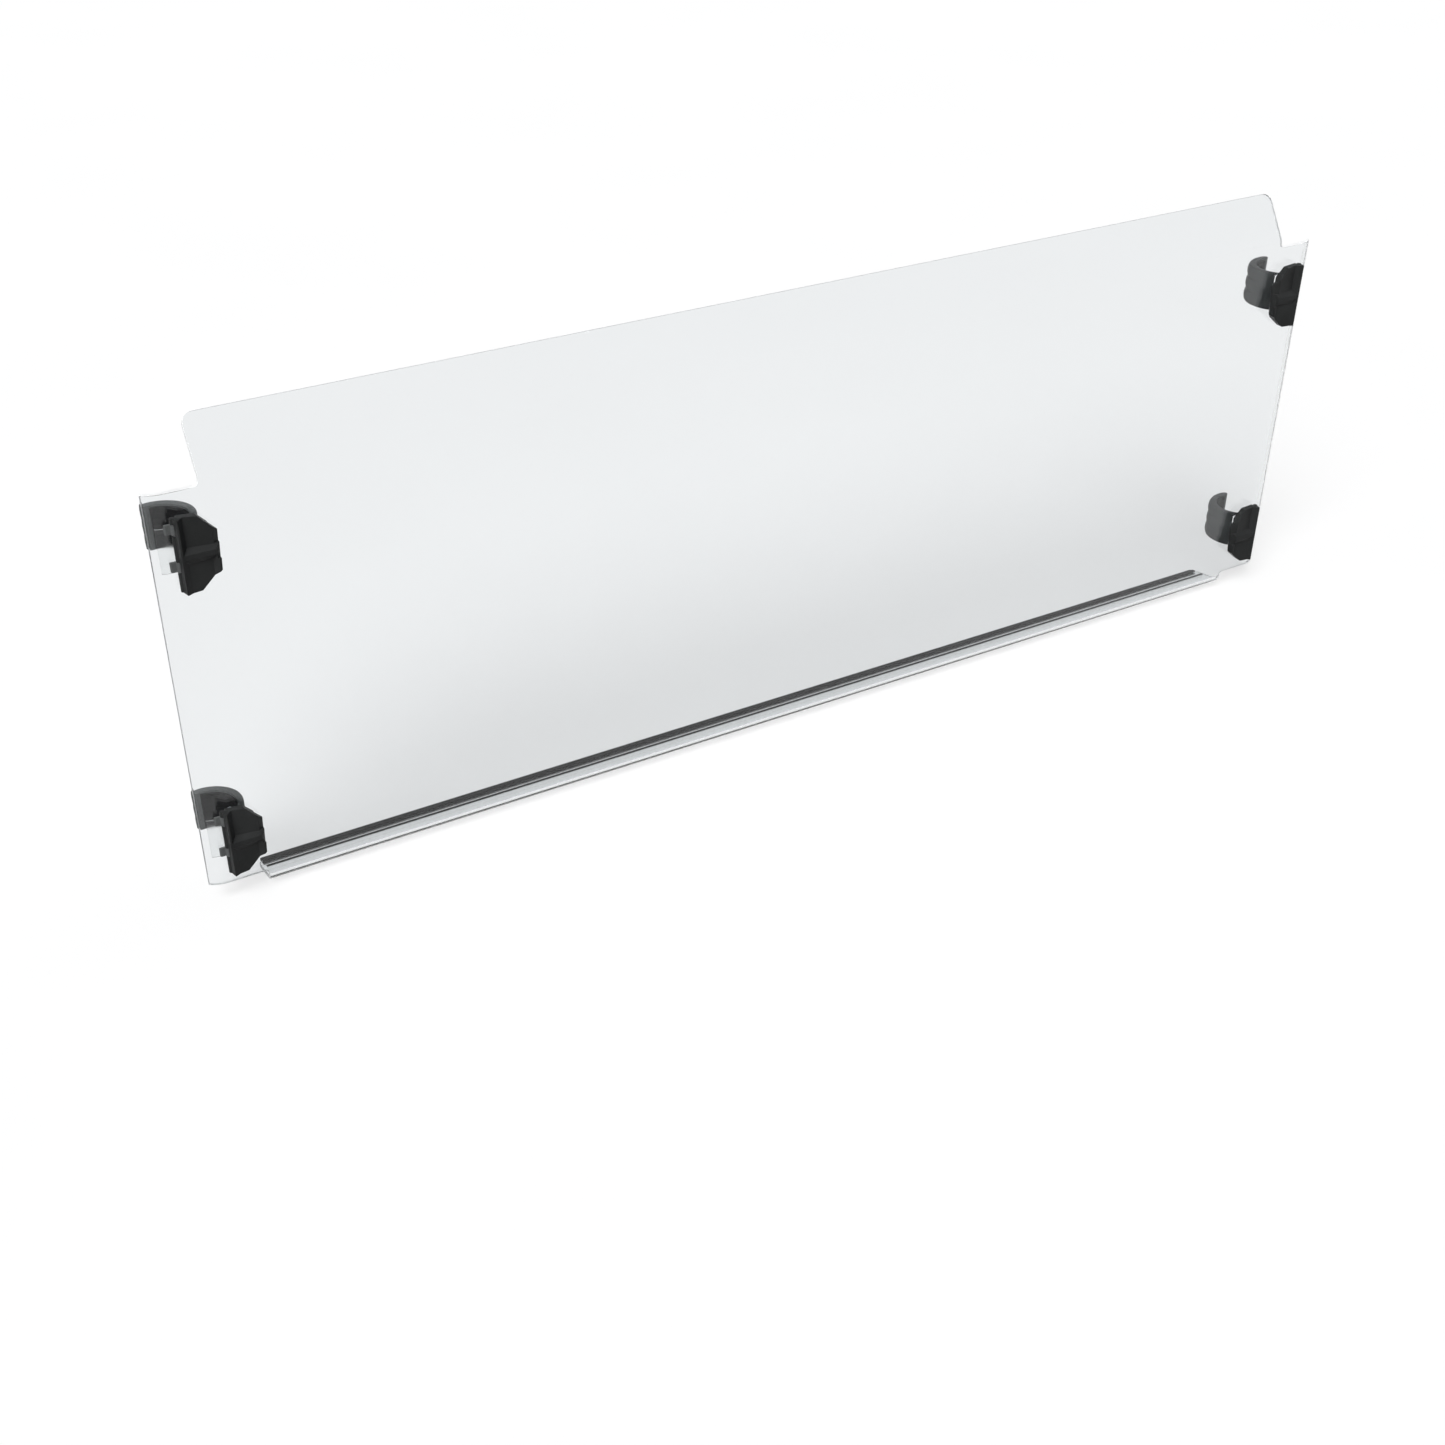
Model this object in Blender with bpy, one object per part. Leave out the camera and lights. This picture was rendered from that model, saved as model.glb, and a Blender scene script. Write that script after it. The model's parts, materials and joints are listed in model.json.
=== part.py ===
"""Clear rear panel held by four quick-release clamps, with a rubber seal along its bottom flange.

Metres, +Z up, +Y forward. The origin lies midway between the two upright grip axes, at the mid-height of the
clamps. Each clamp is modelled once in its own axes, u inward, v rearward from the panel's rear face and w up,
and is then placed at its four corners, mirrored on the left.
"""
from math import cos, pi, radians, sin, sqrt

import bmesh
import bpy
from mathutils import Matrix, Vector

# Grip and clamp places
GRIP_SPACING = 1.364
GRIP_DIAMETER = 0.0483
CLAMP_INSET = 0.022
CLAMP_RISE = 0.319

# Clear sheet
SHEET = 0.005
BEND_RADIUS = 0.006
BEND_STEPS = 5
ROLL_ANGLE = 38.0
ROLL_STEPS = 6
SIDE_HEIGHT = 0.431
SIDE_LIFT = 0.003
NOTCH_FILLET = 0.0055
TOP_WIDTH = 1.298
TOP_ANGLE = 33.0
TOP_FLANGE = 0.055
TOP_CORNER = 0.012
BOTTOM_WIDTH = 1.280
BOTTOM_ANGLE = 80.0
BOTTOM_FLANGE = 0.036
BOTTOM_CORNER = 0.006
SLOT_CORNER = 0.0015

# Gaps between pieces
SEAT_GAP = 0.0003
PIN_GAP = 0.0003
SWING_GAP = 0.0008

# Bottom seal
SEAL_END = 0.004
SEAL_LIP = 0.005
SEAL_WALL = 0.0017
SEAL_BULB = 0.0062
SEAL_BORE = 0.0034
STRIP_WIDTH = 0.003
STRIP_SPACE = 0.005
STRIP_THICKNESS = 0.0012

# Clamp base, its pad and its fasteners
PAD = 0.0008
PLATE = 0.0028
GRIP_PAD = 0.0012
GRIP_PAD_WIDTH = 0.011
GRIP_PAD_TURN = 24.0
LUG_RADIUS = 0.0029
LUG_HEIGHT = 0.010
LUG_UPPER = 0.0253
LUG_LOWER = -0.012
COLUMN_SPACE = 0.0045
FOOT_REACH = 0.0061
FOOT_THICKNESS = 0.0024
EAR_RADIUS = 0.003
EAR_HEIGHT = 0.0042
SCREW_DIAMETER = 0.0035
SCREW_HEAD = 0.0065
SCREW_HEAD_DEPTH = 0.0019
SCREW_INSET = -0.0084
SCREW_RISE = 0.0289
SCREW_TAIL = 0.0008
NUT_FLATS = 0.006
NUT_HEIGHT = 0.0028

# Lever
LEVER_OUTER = 0.0204
LEVER_TOP_OUTER = 0.0375
LEVER_TOP_INNER = 0.0358
LEVER_TOP_SHOULDER = 0.0025
LEVER_NOSE_TOP = 0.0172
LEVER_NOSE_REACH = 0.0196
LEVER_NOSE_BOTTOM = -0.0205
LEVER_LOW_REACH = 0.0174
LEVER_HEEL_SHOULDER = -0.0024
LEVER_BOTTOM = -0.0375
LEVER_FOOT = 0.0014
LEVER_SKIN = 0.0016
WALL_LEAN = 0.003
NOSE_GAP = 0.0044
NOSE_GAP_START = 0.0125
CREST_HEIGHT = 0.0142
CREST_WIDTH = 0.0014
RIDGE_HEIGHT = 0.0134
RIDGE_TOP = 0.0015
RIDGE_BAND = 0.005
LEDGE_RUN = 0.005
POCKET_FLOOR = 0.0094
POCKET_SLOPE = 0.0056
POCKET_REACH = 0.0135
NOSE_DROP = 0.0034
TRAY_FLOOR = 0.0104
TRAY_SLOPE = 0.0042
TRAY_REACH = 0.011
TRAY_RUN = 0.005
LIP_RUN = 0.0045
LIP_HEIGHT = 0.013
RIDGE_REACH = 0.014
RIDGE_NOSE_DROP = 0.005
HINGE_OFFSET = 0.0182
HINGE_HEIGHT = 0.005
HINGE_PIN = 0.003
PIN_CHAMFER = 0.0004
RIB_THICKNESS = 0.003

# Jaw
JAW_HEIGHT = 0.045
JAW_LIFT = 0.0015
JAW_LINER = 0.0024
JAW_WALL = 0.0063
JAW_REACH = 100.0
JAW_ROOT_INNER = -50.0
JAW_ROOT_OUTER = -38.0
JAW_STEPS = 9
LOBES = 3
LOBE_RISE = 0.003
LOBE_START = -8.0
LOBE_FULL = 30.0
LINER_MARGIN = 0.002
LINER_FROM = -44.0
LINER_TO = 94.0
JAW_PIN = 0.003
JAW_BOSS = 0.0032
JAW_AXIS_INSET = -0.001
JAW_AXIS_HEIGHT = 0.0042
STEM_OUTER = -0.005
STEM_INNER = 0.0046
HEEL_REACH = 0.0088
HEEL_TOP = 0.0066
HEEL_UNDER = 0.0018
JAW_SWING = 28.0

# Sizes that follow from the ones above
GRIP_RADIUS = GRIP_DIAMETER / 2
GRIP_X = GRIP_SPACING / 2
CLAMP_X = GRIP_X - CLAMP_INSET
CLAMP_Z = CLAMP_RISE / 2
GRIP_PAD_FRONT = SHEET + SEAT_GAP + GRIP_PAD
REAR_Y = -(GRIP_RADIUS + SEAT_GAP + GRIP_PAD_FRONT)
FRONT_Y = REAR_Y + SHEET
OUTER_BEND = BEND_RADIUS + SHEET
SIDE_TOP = SIDE_LIFT + SIDE_HEIGHT / 2
SIDE_BOTTOM = SIDE_LIFT - SIDE_HEIGHT / 2
TOP_BEND = SIDE_TOP + NOTCH_FILLET
BOTTOM_BEND = SIDE_BOTTOM - NOTCH_FILLET
GRIP_AHEAD = -REAR_Y
PLATE_FOOT = SEAT_GAP + PAD + SEAT_GAP
PLATE_TOP = PLATE_FOOT + PLATE
JAW_BORE = GRIP_RADIUS + SEAT_GAP + JAW_LINER + SEAT_GAP
JAW_OUTER = JAW_BORE + JAW_WALL
JAW_TOP = JAW_LIFT + JAW_HEIGHT / 2
JAW_FOOT = JAW_LIFT - JAW_HEIGHT / 2
WINDOW_TOP = JAW_TOP + SWING_GAP
WINDOW_FOOT = JAW_FOOT - SWING_GAP
UPPER_EAR = (JAW_TOP + SEAT_GAP, JAW_TOP + SEAT_GAP + EAR_HEIGHT)
LOWER_EAR = (JAW_FOOT - SEAT_GAP - EAR_HEIGHT, JAW_FOOT - SEAT_GAP)
UPPER_LUG = (LUG_UPPER - LUG_HEIGHT / 2, LUG_UPPER + LUG_HEIGHT / 2)
LOWER_LUG = (LUG_LOWER - LUG_HEIGHT / 2, LUG_LOWER + LUG_HEIGHT / 2)
JAW_AXIS = Vector((JAW_AXIS_INSET, JAW_AXIS_HEIGHT, 0.0))
HINGE_AXIS = Vector((-HINGE_OFFSET, HINGE_HEIGHT, 0.0))
CREST_INNER = WALL_LEAN + CREST_WIDTH - LEVER_OUTER
PLATE_BACK = -HINGE_OFFSET + LUG_RADIUS + SWING_GAP
UPPER_CEILING = POCKET_FLOOR - LEVER_SKIN
LOWER_CEILING = TRAY_FLOOR - LEVER_SKIN
FAR = 0.2

# Colours as sRGB hex, with roughness and metallic value
FINISHES = {
    "clear_polycarbonate": ("E9EEF0", 0.05, 0.0),
    "black_nylon": ("141515", 0.45, 0.0),
    "grey_nylon": ("4A4C4C", 0.55, 0.0),
    "seal_rubber": ("2A2B2C", 0.7, 0.0),
    "pad_rubber": ("1C1C1D", 0.8, 0.0),
    "zinc_steel": ("B4B6B8", 0.35, 1.0),
}


def linear(channel):
    """One sRGB channel, 0 to 1, as linear light."""
    return channel / 12.92 if channel <= 0.04045 else ((channel + 0.055) / 1.055) ** 2.4


def finish(name):
    """The named material, made the first time it is asked for."""
    material = bpy.data.materials.get(name)
    if material is None:
        code, roughness, metallic = FINISHES[name]
        colour = [linear(int(code[i:i + 2], 16) / 255) for i in (0, 2, 4)]
        material = bpy.data.materials.new(name)
        material.use_nodes = True
        shader = material.node_tree.nodes["Principled BSDF"]
        shader.inputs["Base Color"].default_value = (*colour, 1.0)
        shader.inputs["Roughness"].default_value = roughness
        shader.inputs["Metallic"].default_value = metallic
    return material


def new_object(name, bm):
    """A scene object that owns the mesh of bm."""
    mesh = bpy.data.meshes.new(name)
    bm.to_mesh(mesh)
    bm.free()
    obj = bpy.data.objects.new(name, mesh)
    bpy.context.scene.collection.objects.link(obj)
    return obj


def dress(obj, material, smooth_angle):
    """Material and shading of a finished piece."""
    obj.data.materials.append(finish(material))
    obj.data.shade_smooth()
    obj.data.set_sharp_from_angle(angle=radians(smooth_angle))


def arc(centre, radius, start, end, steps):
    """Points on an arc, in degrees, both ends included."""
    turns = [radians(start + (end - start) * i / steps) for i in range(steps + 1)]
    return [(centre[0] + radius * cos(t), centre[1] + radius * sin(t)) for t in turns]


def slab(points, low, high, axis):
    """An outline in the two other axes, extruded along axis u, v or w (0, 1 or 2)."""
    bm = bmesh.new()
    corners = []
    for a, b in points:
        place = [a, b]
        place.insert(axis, low)
        corners.append(bm.verts.new(place))
    bm.faces.new(corners)
    grown = bmesh.ops.extrude_face_region(bm, geom=bm.faces[:])
    lifted = [g for g in grown["geom"] if isinstance(g, bmesh.types.BMVert)]
    rise = Vector((0.0, 0.0, 0.0))
    rise[axis] = high - low
    bmesh.ops.translate(bm, verts=lifted, vec=rise)
    bmesh.ops.recalc_face_normals(bm, faces=bm.faces)
    return bm


def turned(profile, centre, axis, sides):
    """A solid turned about an axis through centre, from points of radius and height."""
    bm = bmesh.new()
    chain = [bm.verts.new((radius, 0.0, height)) for radius, height in profile]
    edges = [bm.edges.new(pair) for pair in zip(chain, chain[1:])]
    bmesh.ops.spin(bm, geom=chain + edges, cent=(0, 0, 0), axis=(0, 0, 1), angle=2 * pi, steps=sides,
                   use_merge=True)
    bmesh.ops.remove_doubles(bm, verts=bm.verts, dist=1e-6)
    bmesh.ops.recalc_face_normals(bm, faces=bm.faces)
    stand = Vector((0, 0, 1)).rotation_difference(Vector(axis)).to_matrix().to_4x4()
    bmesh.ops.transform(bm, matrix=Matrix.Translation(centre) @ stand, verts=bm.verts)
    return bm


def rod(centre, axis, radius, low, high, sides=16):
    """A plain round rod from low to high along its axis."""
    return turned([(0, low), (radius, low), (radius, high), (0, high)], centre, axis, sides)


def hull(points):
    """The convex solid around a few points."""
    bm = bmesh.new()
    for point in points:
        bm.verts.new(point)
    bmesh.ops.convex_hull(bm, input=bm.verts)
    bmesh.ops.recalc_face_normals(bm, faces=bm.faces)
    return bm


def worked(body, *steps):
    """The solid that is left after each boolean step of (operation, tool) on body."""
    base = new_object("blank", body)
    tools = []
    for operation, tool in steps:
        tools.append(new_object("tool", tool))
        step = base.modifiers.new("step", "BOOLEAN")
        step.operation = operation
        step.object = tools[-1]
        step.solver = "EXACT"
    graph = bpy.context.evaluated_depsgraph_get()
    mesh = bpy.data.meshes.new_from_object(base.evaluated_get(graph))
    result = bmesh.new()
    result.from_mesh(mesh)
    bmesh.ops.remove_doubles(result, verts=result.verts, dist=1e-6)
    for spare in [base, *tools]:
        bpy.data.objects.remove(spare)
    return result


def cut(*tools):
    """Boolean steps that take each tool away."""
    return [("DIFFERENCE", tool) for tool in tools]


def joined(*tools):
    """Boolean steps that add each tool."""
    return [("UNION", tool) for tool in tools]


def lever_outline(inset=0.0):
    """The lever's six-sided outline in u and w, drawn in by inset on every side but the outer one."""
    slope = sqrt(2)
    return [
        (-LEVER_OUTER, LEVER_TOP_OUTER - inset),
        (LEVER_TOP_SHOULDER - inset / slope, LEVER_TOP_INNER - inset),
        (LEVER_NOSE_REACH - inset, LEVER_NOSE_TOP - inset / slope),
        (LEVER_LOW_REACH - inset, LEVER_NOSE_BOTTOM + inset / slope),
        (LEVER_HEEL_SHOULDER - inset / slope, LEVER_BOTTOM + inset),
        (-LEVER_OUTER, LEVER_BOTTOM + inset),
    ]


def lever_pocket():
    """Cutter of the finger pocket: floor, crest slope, and the ledge that rises to the ridge."""
    ledge_foot = RIDGE_TOP + LEDGE_RUN
    crest_slope = POCKET_SLOPE / (CREST_HEIGHT - POCKET_FLOOR)
    ledge_slope = LEDGE_RUN / (RIDGE_HEIGHT - POCKET_FLOOR)
    top = CREST_HEIGHT + SWING_GAP
    foot_u = CREST_INNER + POCKET_SLOPE
    top_u = foot_u - crest_slope * (top - POCKET_FLOOR)
    top_w = ledge_foot - ledge_slope * (top - POCKET_FLOOR)
    return hull([(u, v, w) for v, near_u, near_w in ((POCKET_FLOOR, foot_u, ledge_foot), (top, top_u, top_w))
                 for u in (near_u, FAR) for w in (near_w, FAR)])


def lever_tray():
    """Cutter of the lower half: a shallow tray between the crest, the ridge and the lip on the nose."""
    depth = CREST_HEIGHT + SWING_GAP - TRAY_FLOOR
    near_u = CREST_INNER + TRAY_SLOPE
    near_top = near_u - TRAY_SLOPE / (CREST_HEIGHT - TRAY_FLOOR) * depth
    far_top = TRAY_REACH + LIP_RUN / (LIP_HEIGHT - TRAY_FLOOR) * depth
    floor_w = RIDGE_TOP - RIDGE_BAND - TRAY_RUN
    top_w = floor_w + TRAY_RUN / (RIDGE_HEIGHT - TRAY_FLOOR) * depth
    floor = [(u, TRAY_FLOOR, w) for u in (near_u, TRAY_REACH) for w in (floor_w, -FAR)]
    top = [(u, TRAY_FLOOR + depth, w) for u in (near_top, far_top) for w in (top_w, -FAR)]
    return hull(floor + top)


def lever_solid():
    """The black lever: a hollow faceted cover with a finger pocket, a hinge bead and a rib for the jaw's heel."""
    body = slab(lever_outline(), LEVER_FOOT, CREST_HEIGHT, 1)
    crest_end = CREST_INNER + SEAT_GAP
    ridge_start = crest_end + 2 * (CREST_HEIGHT - RIDGE_HEIGHT)
    ridge_level = slab([(crest_end, CREST_HEIGHT), (ridge_start, RIDGE_HEIGHT), (FAR, RIDGE_HEIGHT), (FAR, FAR),
                        (crest_end, FAR)], -FAR, FAR, 2)
    lip_level = slab([(TRAY_REACH, LIP_HEIGHT), (FAR, LIP_HEIGHT), (FAR, FAR), (TRAY_REACH, FAR)],
                     -FAR, RIDGE_TOP - RIDGE_BAND - TRAY_RUN, 2)
    ridge_nose = slab([(RIDGE_REACH, RIDGE_HEIGHT), (LEVER_NOSE_REACH, RIDGE_HEIGHT - RIDGE_NOSE_DROP),
                       (FAR, RIDGE_HEIGHT - RIDGE_NOSE_DROP), (FAR, FAR), (RIDGE_REACH, FAR)],
                      RIDGE_TOP - RIDGE_BAND - TRAY_RUN, FAR, 2)
    pocket_nose = slab([(POCKET_REACH, POCKET_FLOOR), (LEVER_NOSE_REACH, POCKET_FLOOR - NOSE_DROP),
                        (FAR, POCKET_FLOOR - NOSE_DROP), (FAR, FAR), (POCKET_REACH, FAR)],
                       RIDGE_TOP + LEDGE_RUN, FAR, 2)
    outer_wall = slab([(-LEVER_OUTER, LEVER_FOOT), (WALL_LEAN - LEVER_OUTER, CREST_HEIGHT), (-FAR, CREST_HEIGHT),
                       (-FAR, LEVER_FOOT)], -FAR, FAR, 2)
    nose_gap = slab([(NOSE_GAP_START, -FAR), (FAR, -FAR), (FAR, NOSE_GAP), (NOSE_GAP_START, NOSE_GAP)], -FAR, FAR, 2)
    inner = lever_outline(LEVER_SKIN)
    edge = NOSE_GAP_START - LEVER_SKIN
    hollow_back = -HINGE_OFFSET + LUG_RADIUS
    upper_hollow = worked(slab([(hollow_back, w) if u <= -LEVER_OUTER else (u, w) for u, w in inner],
                               -FAR, UPPER_CEILING, 1),
                          *cut(slab([(edge, -FAR), (FAR, -FAR), (FAR, FAR), (edge, FAR)], -FAR, FAR, 2)))
    tray_end = RIDGE_TOP - LEVER_SKIN
    low_end = LEVER_BOTTOM + LEVER_SKIN
    low_share = (inner[3][0] - edge) / (inner[3][0] - inner[4][0])
    lower_hollow = slab([(hollow_back, tray_end), (edge, tray_end),
                         (edge, inner[3][1] + (inner[4][1] - inner[3][1]) * low_share),
                         (inner[4][0], low_end), (hollow_back, low_end)], -FAR, LOWER_CEILING, 1)
    bead_clear = hollow_back + SEAT_GAP
    under_bead = slab([(-FAR, -FAR), (bead_clear, -FAR), (bead_clear, HINGE_HEIGHT), (-FAR, HINGE_HEIGHT)],
                      -FAR, FAR, 2)
    bead = rod((-HINGE_OFFSET, HINGE_HEIGHT, 0), (0, 0, 1), LUG_RADIUS, LEVER_BOTTOM + SWING_GAP,
               LEVER_TOP_OUTER - LEVER_SKIN / 2)
    window_top = HINGE_HEIGHT + LUG_RADIUS + SWING_GAP
    window_edge = hollow_back + SWING_GAP
    windows = [slab([(-FAR, -FAR), (window_edge, -FAR), (window_edge, window_top), (-FAR, window_top)],
                    low - SWING_GAP, high + SWING_GAP, 2) for low, high in (UPPER_LUG, LOWER_LUG)]
    rib = slab([
        (HEEL_REACH - RIB_THICKNESS, HEEL_TOP + SEAT_GAP),
        (HEEL_REACH, HEEL_TOP + SEAT_GAP),
        (HEEL_REACH, LOWER_CEILING + LEVER_SKIN / 2),
        (HEEL_REACH - RIB_THICKNESS, LOWER_CEILING + LEVER_SKIN / 2),
    ], JAW_FOOT + LEVER_SKIN, tray_end - SWING_GAP, 2)
    bore = rod((-HINGE_OFFSET, HINGE_HEIGHT, 0), (0, 0, 1), HINGE_PIN / 2 + PIN_GAP, -FAR, LUG_UPPER)
    shaping = cut(ridge_level, lip_level, ridge_nose, lever_pocket(), pocket_nose, lever_tray(), outer_wall)
    hollowing = cut(upper_hollow, lower_hollow, under_bead, nose_gap)
    return worked(body, *shaping, *hollowing, *joined(bead, rib), *cut(*windows, bore))


def base_outline():
    """The base plate: a C round the jaw's window, inside the lever's walls."""
    margin = LEVER_SKIN + SWING_GAP
    _, top_inner, nose_top, nose_bottom, heel, _ = lever_outline(margin)
    column = JAW_AXIS_INSET - JAW_BOSS - COLUMN_SPACE
    upper_share = (WINDOW_TOP - nose_top[1]) / (top_inner[1] - nose_top[1])
    lower_share = (WINDOW_FOOT - nose_bottom[1]) / (heel[1] - nose_bottom[1])
    wall = NOSE_GAP_START - LEVER_SKIN - SWING_GAP
    upper_end = min(wall, nose_top[0] + (top_inner[0] - nose_top[0]) * upper_share)
    lower_end = min(wall, nose_bottom[0] + (heel[0] - nose_bottom[0]) * lower_share)
    return [
        (PLATE_BACK, top_inner[1]),
        top_inner,
        (upper_end, WINDOW_TOP),
        (column, WINDOW_TOP),
        (column, WINDOW_FOOT),
        (lower_end, WINDOW_FOOT),
        heel,
        (PLATE_BACK, heel[1]),
    ]


def screw_holes(radius):
    """Round cutters at a clamp's two screws."""
    return [rod((SCREW_INSET, 0, w), (0, 1, 0), radius, -FAR, FAR) for w in (SCREW_RISE, -SCREW_RISE)]


def base_solid():
    """The grey base: plate, two hinge lugs and two ears for the jaw's pin."""
    plate = slab(base_outline(), PLATE_FOOT, PLATE_TOP, 1)
    foot_end = -LEVER_OUTER - FOOT_REACH
    foot_top = PLATE_FOOT + FOOT_THICKNESS
    eye = arc((-HINGE_OFFSET, HINGE_HEIGHT), LUG_RADIUS, 0, 180, 8)
    lug_profile = [
        *eye,
        (eye[-1][0], foot_top),
        (foot_end + FOOT_THICKNESS / 2, foot_top),
        (foot_end, foot_top - FOOT_THICKNESS / 2),
        (foot_end, PLATE_FOOT),
        (PLATE_BACK + PLATE, PLATE_FOOT),
        (PLATE_BACK + PLATE, PLATE_TOP - SEAT_GAP),
        (eye[0][0], PLATE_TOP - SEAT_GAP),
    ]
    lugs = [slab(lug_profile, low, high, 2) for low, high in (UPPER_LUG, LOWER_LUG)]
    ear_profile = [
        *arc((JAW_AXIS_INSET, JAW_AXIS_HEIGHT), EAR_RADIUS, 0, 180, 8),
        (JAW_AXIS_INSET - EAR_RADIUS, PLATE_FOOT + SEAT_GAP),
        (JAW_AXIS_INSET + EAR_RADIUS, PLATE_FOOT + SEAT_GAP),
    ]
    ears = [slab(ear_profile, low, high, 2) for low, high in (UPPER_EAR, LOWER_EAR)]
    hinge_bore = rod((-HINGE_OFFSET, HINGE_HEIGHT, 0), (0, 0, 1), HINGE_PIN / 2 + PIN_GAP, -FAR, FAR)
    jaw_bore = rod((JAW_AXIS_INSET, JAW_AXIS_HEIGHT, 0), (0, 0, 1), JAW_PIN / 2 + PIN_GAP, -FAR, FAR)
    sinks = [countersink(w) for w in (SCREW_RISE, -SCREW_RISE)]
    holes = screw_holes(SCREW_DIAMETER / 2 + PIN_GAP)
    return worked(plate, *joined(*lugs, *ears), *cut(hinge_bore, jaw_bore, *holes, *sinks))


def countersink(w):
    """The conical seat of one screw head, with its clearance."""
    shank = SCREW_DIAMETER / 2 + PIN_GAP
    rim = SCREW_HEAD / 2 + PIN_GAP
    foot = PLATE_TOP - SCREW_HEAD_DEPTH
    profile = [(0, foot), (shank, foot), (rim, PLATE_TOP), (rim, FAR), (0, FAR)]
    return turned(profile, (SCREW_INSET, 0, w), (0, 1, 0), 16)


def pad_solid():
    """The rubber gasket under the base plate."""
    sheet = slab(base_outline(), SEAT_GAP, SEAT_GAP + PAD, 1)
    return worked(sheet, *cut(*screw_holes(SCREW_DIAMETER / 2 + PIN_GAP)))


def screw_solid(w):
    """A countersunk screw whose head is flush with the plate and whose tail ends past the nut."""
    foot = PLATE_TOP - SCREW_HEAD_DEPTH
    tail = -(SHEET + SEAT_GAP + NUT_HEIGHT + SCREW_TAIL)
    radius = SCREW_DIAMETER / 2
    profile = [(0, tail), (radius, tail), (radius, foot), (SCREW_HEAD / 2, PLATE_TOP), (0, PLATE_TOP)]
    return turned(profile, (SCREW_INSET, 0, w), (0, 1, 0), 16)


def nut_solid(w):
    """A hexagon nut against the panel's front face."""
    near = -(SHEET + SEAT_GAP)
    corner = NUT_FLATS / sqrt(3)
    blank = slab([(SCREW_INSET + a, w + b) for a, b in arc((0, 0), corner, 0, 300, 5)], near - NUT_HEIGHT, near, 1)
    hole = rod((SCREW_INSET, 0, w), (0, 1, 0), SCREW_DIAMETER / 2 + PIN_GAP, -FAR, FAR)
    return worked(blank, *cut(hole))


def pin_solid(axis_point, diameter, low, high):
    """A plain dowel pin with chamfered ends."""
    radius = diameter / 2
    c = PIN_CHAMFER
    profile = [(0, low), (radius - c, low), (radius, low + c), (radius, high - c), (radius - c, high), (0, high)]
    return turned(profile, axis_point, (0, 0, 1), 16)


def smooth_step(value, low, high):
    """Nought below low, one above high, and a smooth rise between."""
    t = min(max((value - low) / (high - low), 0.0), 1.0)
    return t * t * (3 - 2 * t)


def jaw_section(w):
    """The jaw's outline at height w in u and f, the distance ahead of the panel's rear face."""
    grip = (-CLAMP_INSET, GRIP_AHEAD)
    lobe = JAW_HEIGHT / LOBES
    across = 2 * (((w - JAW_FOOT) / lobe) % 1.0) - 1
    bulge = LOBE_RISE * sqrt(max(0.0, 1 - across * across))
    inner = arc(grip, JAW_BORE, JAW_REACH, JAW_ROOT_INNER, JAW_STEPS)
    outer = []
    for i in range(JAW_STEPS + 1):
        angle = JAW_ROOT_OUTER + (JAW_REACH - JAW_ROOT_OUTER) * i / JAW_STEPS
        radius = JAW_OUTER + bulge * smooth_step(angle, LOBE_START, LOBE_FULL)
        outer.append((grip[0] + radius * cos(radians(angle)), grip[1] + radius * sin(radians(angle))))
    half = (JAW_OUTER + bulge - JAW_BORE) / 2
    tip_centre = JAW_BORE + half
    tip = (grip[0] + tip_centre * cos(radians(JAW_REACH)), grip[1] + tip_centre * sin(radians(JAW_REACH)))
    nose = arc(tip, half, JAW_REACH, JAW_REACH + 180, 6)[1:-1]
    boss = arc((JAW_AXIS_INSET, -JAW_AXIS_HEIGHT), JAW_BOSS, 270, 180, 4)
    stem = [(STEM_OUTER, 0.0), (STEM_OUTER, SHEET)]
    heel = [
        (STEM_INNER, SHEET),
        (STEM_INNER, -HEEL_UNDER / 2),
        (STEM_INNER + HEEL_UNDER, -HEEL_UNDER),
        (HEEL_REACH, -HEEL_UNDER),
        (HEEL_REACH, -HEEL_TOP),
    ]
    return inner + list(reversed(stem)) + list(reversed(boss)) + list(reversed(heel)) + outer + nose


def jaw_levels():
    """Heights of the jaw's sections, close together where a lobe turns down to its valley."""
    lobe = JAW_HEIGHT / LOBES
    shares = (0.0, 0.08, 0.3, 0.7, 0.92)
    levels = [JAW_FOOT + (i + share) * lobe for i in range(LOBES) for share in shares]
    return levels + [JAW_TOP]


def jaw_solid():
    """The grey hook: sections lofted upward, bored for its pin."""
    bm = bmesh.new()
    rings = []
    for w in jaw_levels():
        rings.append([bm.verts.new((u, -f, w)) for u, f in jaw_section(w)])
    for below, above in zip(rings, rings[1:]):
        for i in range(len(below)):
            bm.faces.new((below[i - 1], below[i], above[i], above[i - 1]))
    bm.faces.new(rings[0])
    bm.faces.new(rings[-1])
    bmesh.ops.recalc_face_normals(bm, faces=bm.faces)
    bore = rod((JAW_AXIS_INSET, JAW_AXIS_HEIGHT, 0), (0, 0, 1), JAW_PIN / 2 + PIN_GAP, -FAR, FAR)
    return worked(bm, *cut(bore))


def liner_solid():
    """The rubber lining between the jaw and the grip."""
    grip = (-CLAMP_INSET, -GRIP_AHEAD)
    inside = arc(grip, GRIP_RADIUS + SEAT_GAP, -LINER_FROM, -LINER_TO, JAW_STEPS)
    outside = arc(grip, GRIP_RADIUS + SEAT_GAP + JAW_LINER, -LINER_TO, -LINER_FROM, JAW_STEPS)
    return slab(inside + outside, JAW_FOOT + LINER_MARGIN, JAW_TOP - LINER_MARGIN, 2)


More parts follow.
